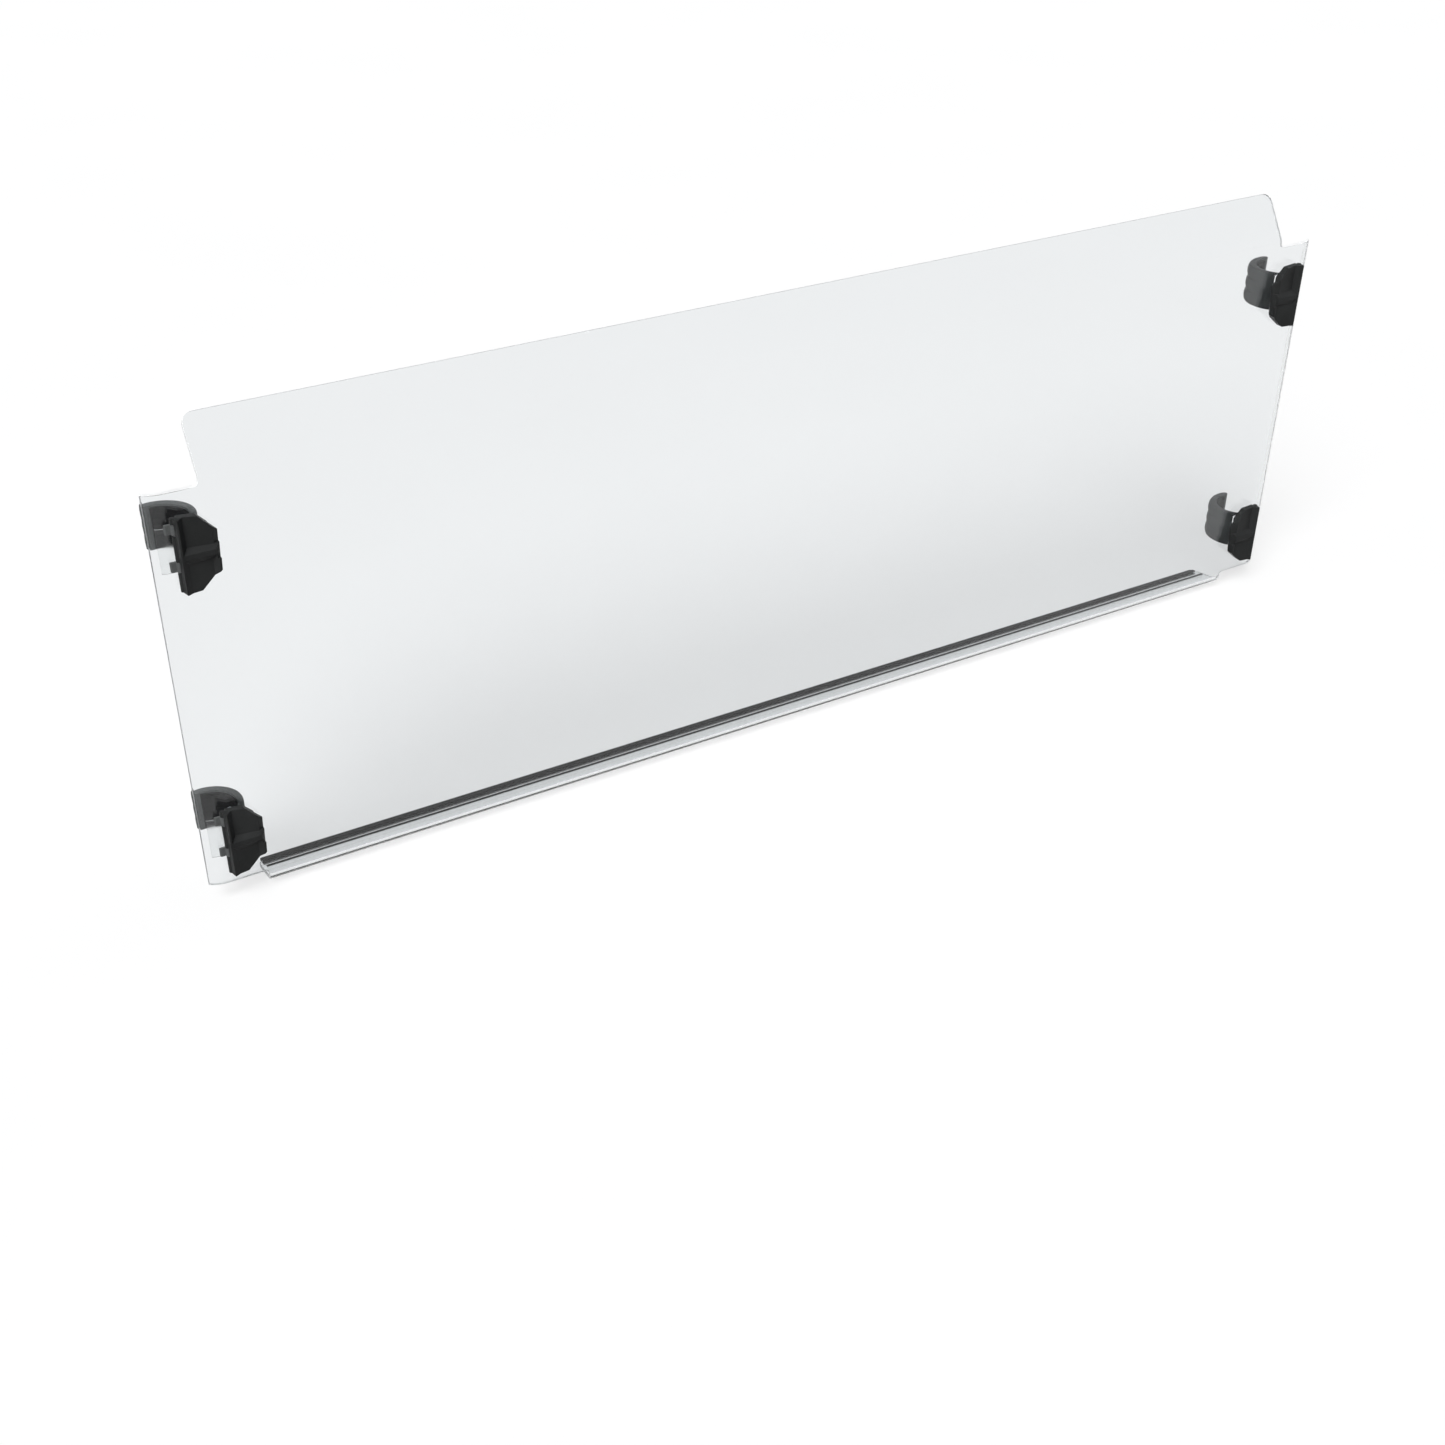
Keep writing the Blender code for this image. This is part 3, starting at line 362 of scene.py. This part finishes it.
clear_urethane, tree, shader, place = new_material("clear_urethane")
haze = add(tree, "ShaderNodeTexNoise", {"Vector": place, "Scale": 1 / HAZE_SIZE, "Detail": 2.0})
tone = add(tree, "ShaderNodeMix",
           {"Factor": haze.outputs["Fac"], "A": linear("F6F7F7"), "B": linear("EFF1F1")}, data_type="RGBA")
gloss = add(tree, "ShaderNodeMapRange",
            {"Value": haze.outputs["Fac"], **NOISE_SPAN, "To Min": 0.06, "To Max": 0.16})
relief = add(tree, "ShaderNodeBump", {"Height": haze.outputs["Fac"], "Strength": 0.1, "Distance": 0.0005})
dress(tree, shader, tone.outputs["Result"], gloss.outputs["Result"], relief.outputs["Normal"])
shader.inputs["IOR"].default_value = 1.49
shader.inputs["Transmission Weight"].default_value = 1.0
shader.inputs["Specular Tint"].default_value = linear("9A9A9A")
print(clear_urethane.name)

# %% [markdown]
# ## Zinc-plated steel
# Pins, screws and nuts are steel with bright zinc. Plating has a soft spangle of a few millimetres and fine
# brushing from barrelling, so roughness wanders and the tone drifts a little from white to blue-grey.

# %% Zinc finish
SPANGLE_SIZE, SCRATCH_SIZE = 0.0025, 0.0009

zinc, tree, shader, place = new_material("zinc_steel")
spangle = add(tree, "ShaderNodeTexVoronoi", {"Vector": place, "Scale": 1 / SPANGLE_SIZE})
tone = add(tree, "ShaderNodeMix",
           {"Factor": spangle.outputs["Color"], "A": linear("A9ADB1"), "B": linear("C2C5C7")}, data_type="RGBA")
scratch = add(tree, "ShaderNodeTexNoise", {"Vector": place, "Scale": 1 / SCRATCH_SIZE, "Detail": 3.0})
gloss = add(tree, "ShaderNodeMapRange",
            {"Value": scratch.outputs["Fac"], **NOISE_SPAN, "To Min": 0.24, "To Max": 0.42})
relief = add(tree, "ShaderNodeBump", {"Height": scratch.outputs["Fac"], "Strength": 0.15, "Distance": 0.0001})
dress(tree, shader, tone.outputs["Result"], gloss.outputs["Result"], relief.outputs["Normal"])
shader.inputs["Metallic"].default_value = 1.0
print(zinc.name)

# %% [markdown]
# ## Pieces with eased edges
# No moulded or cut edge is perfectly sharp, and it is the thin line of light on an edge that tells the eye how
# big a thing is. Where a CAD solid already has the right form, a copy of it is merged, cleared of flat seams,
# and its edges are bevelled by a few tenths of a millimetre. Edges that turn only a little stay crisp, except
# on a rod of sixteen sides, which is shaded round. Weighted normals let the large faces stay flat and only the
# bevels blend.


# %% A piece from a CAD solid
SAME_POINT = 1e-6
FLAT_TURN = 1
CRISP_TURN = 6.0
ROD_TURN, ROD_SLACK = 360 / 16, 0.5


def finished(name, bm, material, body):
    """A piece from a bmesh, with its finish and the body that it rides on."""
    for face in bm.faces:
        face.smooth = True
    piece = as_object(name, bm, material)
    flat_faces = piece.modifiers.new("flat_faces", "WEIGHTED_NORMAL")
    flat_faces.keep_sharp = True
    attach(piece, body)
    return piece


def clean_copy(node, merge=SAME_POINT):
    """A bmesh of a CAD node with its doubles merged and its flat seams dissolved."""
    bm = bmesh.new()
    bm.from_mesh(nodes[node].data)
    bmesh.ops.remove_doubles(bm, verts=bm.verts, dist=merge)
    bmesh.ops.dissolve_limit(bm, angle_limit=radians(FLAT_TURN), verts=bm.verts, edges=bm.edges)
    return bm


def round_edges(bm, edges, width):
    """Bevel edges to a small round."""
    bmesh.ops.bevel(bm, geom=edges, offset=width, segments=2, profile=0.5, affect="EDGES", material=-1,
                    clamp_overlap=False)


def ease(bm, width, turn=30, shortest=0.0):
    """Round the long edges that turn by more than an angle, and keep the other bent edges crisp."""
    rounded = []
    for edge in bm.edges:
        angle = degrees(edge.calc_face_angle(0.0))
        if angle > turn and edge.calc_length() > shortest:
            rounded.append(edge)
        elif angle > CRISP_TURN and abs(angle - ROD_TURN) > ROD_SLACK:
            edge.smooth = False
    round_edges(bm, rounded, width)
    return len(rounded)


print("edges that turn by more than", CRISP_TURN, "degrees are eased or kept crisp")

# %% [markdown]
# Bases, pads and nuts need nothing more than that, at each of the four corners. A corner is named by its side
# and its height, and two signs say where it is. Pins and screws are hidden but for their ends, so their
# solids stay and only take the zinc.

# %% Bases, pads, nuts, pins and screws
ROOT = "panel_and_bases"
CORNERS = {"left_upper": (-1, 1), "left_lower": (-1, -1), "right_upper": (1, 1), "right_lower": (1, -1)}
SHORTEST_EASED = 0.0008
EASED = {
    "base": (0.00025, grey_nylon, "grey_nylon"),
    "base_pad": (0.0001, pad_rubber, "pad_rubber"),
    "grip_pad": (0.0003, clear_urethane, "pad_rubber"),
    "upper_nut": (0.0002, zinc, "zinc_steel"),
    "lower_nut": (0.0002, zinc, "zinc_steel"),
}

for clamp in CORNERS:
    for part, (width, material, slot) in EASED.items():
        node = f"{clamp}_{part}"
        bm = clean_copy(node)
        ease(bm, width, shortest=SHORTEST_EASED)
        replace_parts(finished(node + "_eased", bm, material, ROOT), node)

plated = [solid for node, solid in nodes.items() if node.endswith(("_pin", "_screw"))]
for solid in plated:
    solid.data.materials.clear()
    solid.data.materials.append(zinc)
print(len(CORNERS) * len(EASED), "pieces eased,", len(plated), "pins and screws plated")

# %% [markdown]
# ## The lever
# The black lever is the piece that the hand meets: a faceted cover with a finger pocket above, a ridge across
# the middle and a shallow tray below. Its solid has all the facets, so the copy only needs two touches. The
# floor of the pocket is turned a few degrees one way and the floor of the tray the other, so that light from
# the left makes one darker than the other. Then the edges are rounded.


# %% Lever covers
CLAMP_X, CLAMP_Z = 0.66, 0.1595
REAR_Y = -0.03095
LEVER_MERGE = 0.00035
LEVER_ROUND, LEVER_TURN, LEVER_SHORTEST = 0.0003, 24, 0.002
FLOOR_LEAN = 0.14
FLOOR_SLACK = 0.0001
# For pocket and tray: how far the floor lies behind the panel, its lowest and highest point, and its lean
FLOORS = [(0.0094, 0.006, 0.05, FLOOR_LEAN), (0.0104, -0.05, -0.008, -FLOOR_LEAN)]


def lean_floors(bm, side, height):
    """Turn the floors of pocket and tray about an upright axis, and count the points moved."""
    moved = 0
    for point in bm.verts:
        inward = CLAMP_X - side * point.co.x
        depth = REAR_Y - point.co.y
        rise = point.co.z - height * CLAMP_Z
        for floor_depth, low, high, lean in FLOORS:
            if abs(depth - floor_depth) < FLOOR_SLACK and low < rise < high:
                point.co.y -= lean * inward
                moved += 1
    return moved


for clamp, (side, height) in CORNERS.items():
    node = f"{clamp}_lever"
    bm = clean_copy(node, LEVER_MERGE)
    moved = lean_floors(bm, side, height)
    count = ease(bm, LEVER_ROUND, turn=LEVER_TURN, shortest=LEVER_SHORTEST)
    piece = finished(node + "_cover", bm, black_nylon, f"{clamp}_lever_body")
    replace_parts(piece, node)
print(moved, "points moved and", count, "edges rounded on each lever")

# %% [markdown]
# ## The jaw
# The grey jaw is a hook with three rounded fingers. A ring is bridged between two circles, cut to the hook's
# reach by two planes, and raised in small steps. It is drawn in the clamp's own axes, inward, rearward and up,
# so one drawing serves all four corners.


# %% A flat hook, and a step upward
RING_SIDES = 120
CUT_SLACK = 1e-7


def hook(inner, outer, start, end):
    """A flat ring between two radii, cut to a range of angles."""
    bm = bmesh.new()
    for radius in (inner, outer):
        bmesh.ops.create_circle(bm, radius=radius, segments=RING_SIDES)
    bmesh.ops.bridge_loops(bm, edges=bm.edges[:])
    for angle, turn in ((start, 90), (end, -90)):
        away = radians(angle - turn)
        bmesh.ops.bisect_plane(bm, geom=bm.verts[:] + bm.edges[:] + bm.faces[:], plane_co=(0, 0, 0),
                               plane_no=(cos(away), sin(away), 0), clear_outer=True, dist=CUT_SLACK)
    return bm


def raised_by(bm, faces, rise):
    """Extrude faces upward by one step without a wall inside, and give back the new faces and points."""
    grown = bmesh.ops.extrude_face_region(bm, geom=faces)["geom"]
    points = [g for g in grown if isinstance(g, bmesh.types.BMVert)]
    bmesh.ops.translate(bm, verts=points, vec=(0, 0, rise))
    inside = [face for face in faces if any(len(edge.link_faces) > 2 for edge in face.edges)]
    bmesh.ops.delete(bm, geom=inside, context="FACES")
    return [g for g in grown if isinstance(g, bmesh.types.BMFace)], points


print("a ring has a side every", 360 / RING_SIDES, "degrees")

# %% [markdown]
# At each step the outer rim is pushed out by a half-round, so that the fingers swell and pinch. They rise out of
# the plain back of the hook over a range of angles, and at the tip both rims are drawn together to a round end.


# %% Fingers and tip
JAW_LOW, JAW_HIGH = -0.021, 0.024
JAW_INNER, JAW_OUTER = 0.02715, 0.03345
JAW_START, JAW_REACH = -50.0, 107.0
LOBES, LOBE_RISE, LOBE_STEPS = 3, 0.003, 12
LOBE_START, LOBE_FULL = -8.0, 30.0
TIP_TURN, TIP_BLUNT = 9.0, 0.04


def smooth_step(value, low, high):
    """Nought below low, one above high, and a smooth rise between."""
    share = min(max((value - low) / (high - low), 0.0), 1.0)
    return share * share * (3 - 2 * share)


def shape_rim(points, bulge):
    """Push the outer rim of one layer out into a finger, and draw both rims together at the tip."""
    middle = (JAW_INNER + JAW_OUTER) / 2
    for point in points:
        flat = point.co.xy
        angle = degrees(atan2(flat.y, flat.x))
        swell = bulge * smooth_step(angle, LOBE_START, LOBE_FULL)
        radius = JAW_OUTER + swell if flat.length > middle else JAW_INNER
        past = max(0.0, (angle - JAW_REACH + TIP_TURN) / TIP_TURN)
        radius = middle + (radius - middle) * sqrt(max(TIP_BLUNT, 1 - past * past))
        point.co.xy = flat.normalized() * radius


print("each finger is", round((JAW_HIGH - JAW_LOW) / LOBES * 1000, 1), "mm high")

# %% [markdown]
# Angles of a ring are counted forward, while the clamp's second axis runs rearward, so a finished ring is
# turned over before it is set on the grip, and its faces are turned outward after that. The corner's signs
# then carry it to its place. A corner on the left is a mirror image, which turns a mesh inside out, so its
# faces are reversed.


# %% Onto the grip and into the clamp
GRIP_X = 0.682
GRIP = Vector((CLAMP_X - GRIP_X, REAR_Y, 0.0))


def outward(bm):
    """Turn the faces of one closed shell outward."""
    bmesh.ops.recalc_face_normals(bm, faces=bm.faces)
    if bm.calc_volume(signed=True) < 0:
        bmesh.ops.reverse_faces(bm, faces=bm.faces)
    return bm


def onto_grip(bm):
    """Turn a ring over, centre it on the grip and turn its faces outward."""
    bmesh.ops.scale(bm, vec=(1, -1, 1), verts=bm.verts)
    bmesh.ops.translate(bm, verts=bm.verts, vec=GRIP)
    return outward(bm)


def into_clamp(bm, side, height):
    """Move a solid from a clamp's own axes to its corner of the panel, mirrored on the left."""
    place = Matrix.Translation((side * CLAMP_X, REAR_Y, height * CLAMP_Z))
    bmesh.ops.transform(bm, matrix=place @ Matrix.Diagonal((-side, -1, 1, 1)), verts=bm.verts)
    if side < 0:
        bmesh.ops.reverse_faces(bm, faces=bm.faces)
    return bm


print("the grip is", round(-GRIP.x * 1000, 1), "mm outside the clamp's middle")

# %% [markdown]
# The hook is built up finger by finger, in steps that are short where the half-round is steep. Its rims at the
# top and the bottom are eased at the end.


# %% Hook with three fingers
RIM_TURN = 50
JAW_ROUND = 0.0005


def at_level(edge, z):
    """Whether both points of an edge lie at a height."""
    return all(abs(point.co.z - z) < SAME_POINT for point in edge.verts)


def jaw_mesh():
    """The hook with its three fingers, closed and facing outward."""
    bm = hook(JAW_INNER, JAW_OUTER, JAW_START, JAW_REACH)
    shape_rim(bm.verts, 0.0)
    bmesh.ops.translate(bm, verts=bm.verts, vec=(0, 0, JAW_LOW))
    faces = bm.faces[:]
    finger = (JAW_HIGH - JAW_LOW) / LOBES
    for lobe in range(LOBES):
        for step in range(LOBE_STEPS):
            across = [-cos(pi * (step + i) / LOBE_STEPS) for i in (0, 1)]
            faces, points = raised_by(bm, faces, (across[1] - across[0]) * finger / 2)
            shape_rim(points, LOBE_RISE * sqrt(max(0.0, 1 - across[1] ** 2)))
    onto_grip(bm)
    rims = [edge for edge in bm.edges if edge.calc_face_angle(0.0) > radians(RIM_TURN)
            and (at_level(edge, JAW_LOW) or at_level(edge, JAW_HIGH))]
    round_edges(bm, rims, JAW_ROUND)
    return bm


print("a hook is raised in", LOBES * LOBE_STEPS, "steps")

# %% [markdown]
# The stem is a short bar behind the hook: it passes through the panel's window, turns on its pin and ends in
# the heel that the lever holds down. Seven corners, raised to the jaw's height and eased, give it. The corner
# round the pin gets a large radius first.


# %% Stem, and the jaws in place
STEM = [(-0.0046, -0.0112), (-0.005, -0.005), (-0.0042, 0.0074), (0.0088, 0.0066), (0.0088, 0.0018),
        (0.0046, 0.0012), (0.0044, -0.0106)]
PIN_CORNER, PIN_ROUND, PIN_STEPS = 2, 0.003, 6
STEM_ROUND, STEM_TURN = 0.0004, 40


def round_corners(bm, points, radius, steps):
    """Round corners of a flat face."""
    bmesh.ops.bevel(bm, geom=points, offset=radius, segments=steps, profile=0.5, affect="VERTICES",
                    material=-1)


def stem_mesh():
    """The jaw's stem and heel, with a round corner about its pin."""
    bm = bmesh.new()
    corners = [bm.verts.new((u, v, JAW_LOW)) for u, v in STEM]
    bm.faces.new(corners)
    round_corners(bm, [corners[PIN_CORNER]], PIN_ROUND, PIN_STEPS)
    raised_by(bm, bm.faces[:], JAW_HIGH - JAW_LOW)
    outward(bm)
    ease(bm, STEM_ROUND, turn=STEM_TURN)
    return bm


def joined(*shells):
    """One bmesh that holds several closed shells."""
    whole = bmesh.new()
    for shell in shells:
        mesh = bpy.data.meshes.new("shell")
        shell.to_mesh(mesh)
        shell.free()
        whole.from_mesh(mesh)
        bpy.data.meshes.remove(mesh)
    return whole


for clamp, (side, height) in CORNERS.items():
    bm = into_clamp(joined(jaw_mesh(), stem_mesh()), side, height)
    count = len(bm.faces)
    piece = finished(f"{clamp}_jaw_hook", bm, grey_nylon, f"{clamp}_jaw_body")
    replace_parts(piece, f"{clamp}_jaw")
print(count, "faces in each jaw")

# %% [markdown]
# ## The jaw's liner
# A strip of neoprene lines the hook so that it grips without marking. It is the same kind of ring, thinner, with
# six shallow grooves moulded round its inner face, pressed in layer by layer as the strip is raised.


# %% Liners
LINER_INNER, LINER_OUTER = 0.02445, 0.02685
LINER_START, LINER_END = -44.0, 94.0
LINER_LOW, LINER_HIGH = -0.019, 0.022
GROOVES, GROOVE_DEPTH = 6, 0.0007
# Each layer's height as a share of the grooves' spacing, and how deep its inner rim is pressed in
PLAIN_LAYER = (0.8, 0.0)
GROOVE_LAYERS = [(0.1, GROOVE_DEPTH), (0.2, GROOVE_DEPTH), (0.1, 0.0), (0.6, 0.0)]


def liner_mesh():
    """A strip with grooves round its inner face."""
    bm = hook(LINER_INNER, LINER_OUTER, LINER_START, LINER_END)
    bmesh.ops.translate(bm, verts=bm.verts, vec=(0, 0, LINER_LOW))
    faces = bm.faces[:]
    spacing = (LINER_HIGH - LINER_LOW) / (GROOVES + 1)
    middle = (LINER_INNER + LINER_OUTER) / 2
    for share, depth in [PLAIN_LAYER] + GROOVE_LAYERS * GROOVES:
        faces, points = raised_by(bm, faces, share * spacing)
        for point in points:
            if point.co.xy.length < middle:
                point.co.xy = point.co.xy.normalized() * (LINER_INNER + depth)
    raised_by(bm, faces, LINER_HIGH - LINER_LOW - spacing * (PLAIN_LAYER[0] + GROOVES))
    return onto_grip(bm)


for clamp, (side, height) in CORNERS.items():
    bm = into_clamp(liner_mesh(), side, height)
    count = len(bm.faces)
    piece = finished(f"{clamp}_liner_strip", bm, pad_rubber, f"{clamp}_jaw_body")
    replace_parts(piece, f"{clamp}_jaw_liner")
print(count, "faces in each liner")

# %% [markdown]
# ## The clear panel
# The sheet is drawn as one flat face with notched corners. Its borders are then spun into bends and drawn out
# into flanges, as the real one is folded from a flat blank. Doing it in this order keeps the folds tangent to
# the face. Thickness comes last, from Solidify, and the windows are cut after that.


# %% Bends and flanges
BEND_STEPS, CORNER_STEPS = 20, 8


def border(bm, axis, value):
    """The straight border edge whose two points share a value on one axis."""
    return next(edge for edge in bm.edges if edge.is_boundary
                and all(abs(point.co[axis] - value) < SAME_POINT for point in edge.verts))


def bend(bm, edge, centre, axis, turn):
    """Spin a border edge about an axis, and give back its new border."""
    spun = bmesh.ops.spin(bm, geom=[edge, *edge.verts], cent=centre, axis=axis, angle=radians(turn),
                          steps=BEND_STEPS)
    return next(g for g in spun["geom_last"] if isinstance(g, bmesh.types.BMEdge))


def flange(bm, edge, direction, length, corner):
    """Draw a border edge out straight, and round its two corners."""
    grown = bmesh.ops.extrude_edge_only(bm, edges=[edge])["geom"]
    ends = [g for g in grown if isinstance(g, bmesh.types.BMVert)]
    bmesh.ops.translate(bm, verts=ends, vec=direction * length)
    round_corners(bm, ends, corner, CORNER_STEPS)


print("a bend takes", BEND_STEPS, "steps")

# %% Folded sheet
OUTER_BEND = 0.011
TOP_HALF, TOP_BEND, TOP_TURN, TOP_FLANGE, TOP_CORNER = 0.649, 0.224, 33.0, 0.055, 0.012
LOW_HALF, LOW_BEND, LOW_TURN, LOW_FLANGE, LOW_CORNER = 0.640, -0.218, 80.0, 0.036, 0.006
SIDE_TOP, SIDE_BOTTOM, SIDE_TURN = 0.2185, -0.2125, 38.0
NOTCHES, NOTCH_FILLET = (1, 4, 7, 10), 0.0054
TOP_WAY = Vector((0, sin(radians(TOP_TURN)), cos(radians(TOP_TURN))))
LOW_WAY = Vector((0, sin(radians(LOW_TURN)), -cos(radians(LOW_TURN))))

half = [(TOP_HALF, TOP_BEND), (TOP_HALF, SIDE_TOP), (GRIP_X, SIDE_TOP), (GRIP_X, SIDE_BOTTOM),
        (LOW_HALF, SIDE_BOTTOM), (LOW_HALF, LOW_BEND)]
bm = bmesh.new()
corners = [bm.verts.new((x, REAR_Y, z)) for x, z in half + [(-x, z) for x, z in reversed(half)]]
bm.faces.new(corners)
round_corners(bm, [corners[i] for i in NOTCHES], NOTCH_FILLET, CORNER_STEPS)
fold = bend(bm, border(bm, 2, TOP_BEND), (0, REAR_Y + OUTER_BEND, TOP_BEND), (-1, 0, 0), TOP_TURN)
flange(bm, fold, TOP_WAY, TOP_FLANGE, TOP_CORNER)
fold = bend(bm, border(bm, 2, LOW_BEND), (0, REAR_Y + OUTER_BEND, LOW_BEND), (1, 0, 0), LOW_TURN)
flange(bm, fold, LOW_WAY, LOW_FLANGE, LOW_CORNER)
for side in (-1, 1):
    bend(bm, border(bm, 0, side * GRIP_X), (side * GRIP_X, 0, 0), (0, 0, side), SIDE_TURN)
bmesh.ops.recalc_face_normals(bm, faces=bm.faces)
widest = max(bm.faces, key=lambda face: face.calc_area())
if widest.normal.y > 0:
    bmesh.ops.reverse_faces(bm, faces=bm.faces)
print(len(bm.faces), "faces in the folded sheet")

# %% [markdown]
# The windows for the jaws are blocks with rounded corners and the screw holes are short rods. All of them go
# into one cutter, and one Boolean takes it from the thick sheet. Both objects carry the clear finish twice, so
# that Solidify can give the rim of the sheet the second number. The result is kept as a plain mesh.


# %% Windows and thickness
SHEET = 0.005
WINDOW = (-0.0058, 0.0109, -0.0218, 0.0248)
WINDOW_CORNER, WINDOW_STEPS = 0.0015, 5
SCREW_INSET, SCREW_RISE = -0.0084, 0.0289
HOLE_RADIUS, HOLE_SIDES = 0.00205, 32
CUT_DEPTH = 0.04


def window_cutter():
    """One clamp's window and its two screw holes."""
    cutter = bmesh.new()
    low_u, high_u, low_w, high_w = WINDOW
    bmesh.ops.create_cube(cutter, size=1.0)
    bmesh.ops.scale(cutter, vec=(high_u - low_u, CUT_DEPTH, high_w - low_w), verts=cutter.verts)
    across = [edge for edge in cutter.edges if abs(edge.verts[0].co.y - edge.verts[1].co.y) > CUT_DEPTH / 2]
    bmesh.ops.bevel(cutter, geom=across, offset=WINDOW_CORNER, segments=WINDOW_STEPS, profile=0.5,
                    affect="EDGES", material=-1)
    bmesh.ops.translate(cutter, verts=cutter.verts, vec=((low_u + high_u) / 2, 0, (low_w + high_w) / 2))
    for w in (SCREW_RISE, -SCREW_RISE):
        stand = Matrix.Translation((SCREW_INSET, 0, w)) @ Matrix.Rotation(pi / 2, 4, "X")
        bmesh.ops.create_cone(cutter, cap_ends=True, segments=HOLE_SIDES, radius1=HOLE_RADIUS,
                              radius2=HOLE_RADIUS, depth=CUT_DEPTH, matrix=stand)
    return cutter


blank = as_object("blank", bm, clear, clear)
cutters = [into_clamp(window_cutter(), *corner) for corner in CORNERS.values()]
cutter = as_object("cutter", joined(*cutters), clear, clear)
wall = blank.modifiers.new("wall", "SOLIDIFY")
wall.thickness = SHEET
wall.offset = -1.0
wall.use_even_offset = True
wall.material_offset_rim = 1
windows = blank.modifiers.new("windows", "BOOLEAN")
windows.operation = "DIFFERENCE"
windows.object = cutter
windows.solver = "EXACT"
windows.material_mode = "INDEX"
graph = bpy.context.evaluated_depsgraph_get()
cut_mesh = bpy.data.meshes.new_from_object(blank.evaluated_get(graph))
bm = bmesh.new()
bm.from_mesh(cut_mesh)
for spare in (blank, cutter):
    bpy.data.objects.remove(spare)
bmesh.ops.remove_doubles(bm, verts=bm.verts, dist=SAME_POINT)
print(len(bm.faces), "faces in the sheet with its windows cut")

# %% [markdown]
# The outer edge is all the faces that Solidify set between the two skins of the sheet, and their number makes
# them easy to find. They are marked for the frosted finish before the rims are eased. The windows keep the
# first number: their edges are polished clear, so that no crack starts there.

# %% Mark and ease the cut edge
EDGE_ROUND = 0.0005

mark = bm.faces.layers.float.new(EDGE_MARK)
for face in bm.faces:
    face[mark] = float(face.material_index)
    face.material_index = 0
cut_faces = sum(face[mark] for face in bm.faces)
rims = [edge for edge in bm.edges if edge.calc_face_angle(0.0) > radians(RIM_TURN)]
round_edges(bm, rims, EDGE_ROUND)
panel = finished("panel_sheet", bm, clear, ROOT)
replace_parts(panel, "panel")
print(int(cut_faces), "faces of cut edge,", len(panel.data.polygons), "faces in the sheet")

# %% [markdown]
# ## The seal
# A bulb seal is pushed on the edge of the bottom flange, with a flat strip beside it. Both are extruded rubber,
# so their long edges are slightly round. The strip is slid back along the flange by a few millimetres, because
# the clear flange shows the lower lip of the seal in the gap, and the light line between the two needs room.

# %% Seal and strip
SEAL_ROUND, STRIP_ROUND, SEAL_TURN = 0.0004, 0.0003, 35
STRIP_BACK = 0.006

for node, width, slide in (("bottom_seal", SEAL_ROUND, 0.0), ("seal_strip", STRIP_ROUND, STRIP_BACK)):
    bm = clean_copy(node)
    bmesh.ops.translate(bm, verts=bm.verts, vec=-slide * LOW_WAY)
    count = ease(bm, width, turn=SEAL_TURN)
    piece = finished(node + "_rubber", bm, seal_rubber, ROOT)
    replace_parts(piece, node)
    print(node, count, "edges eased")

# %% [markdown]
# ## Measure
# The box of the finished pieces is set against the box of the solids, and how much it has grown is printed, to
# show that the looks added no size.

# %% Sizes
visual_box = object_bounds()
growth = (visual_box[1] - visual_box[0]) - (cad_box[1] - cad_box[0])
print("grown by", [round(length * 1000, 2) for length in growth], "mm")
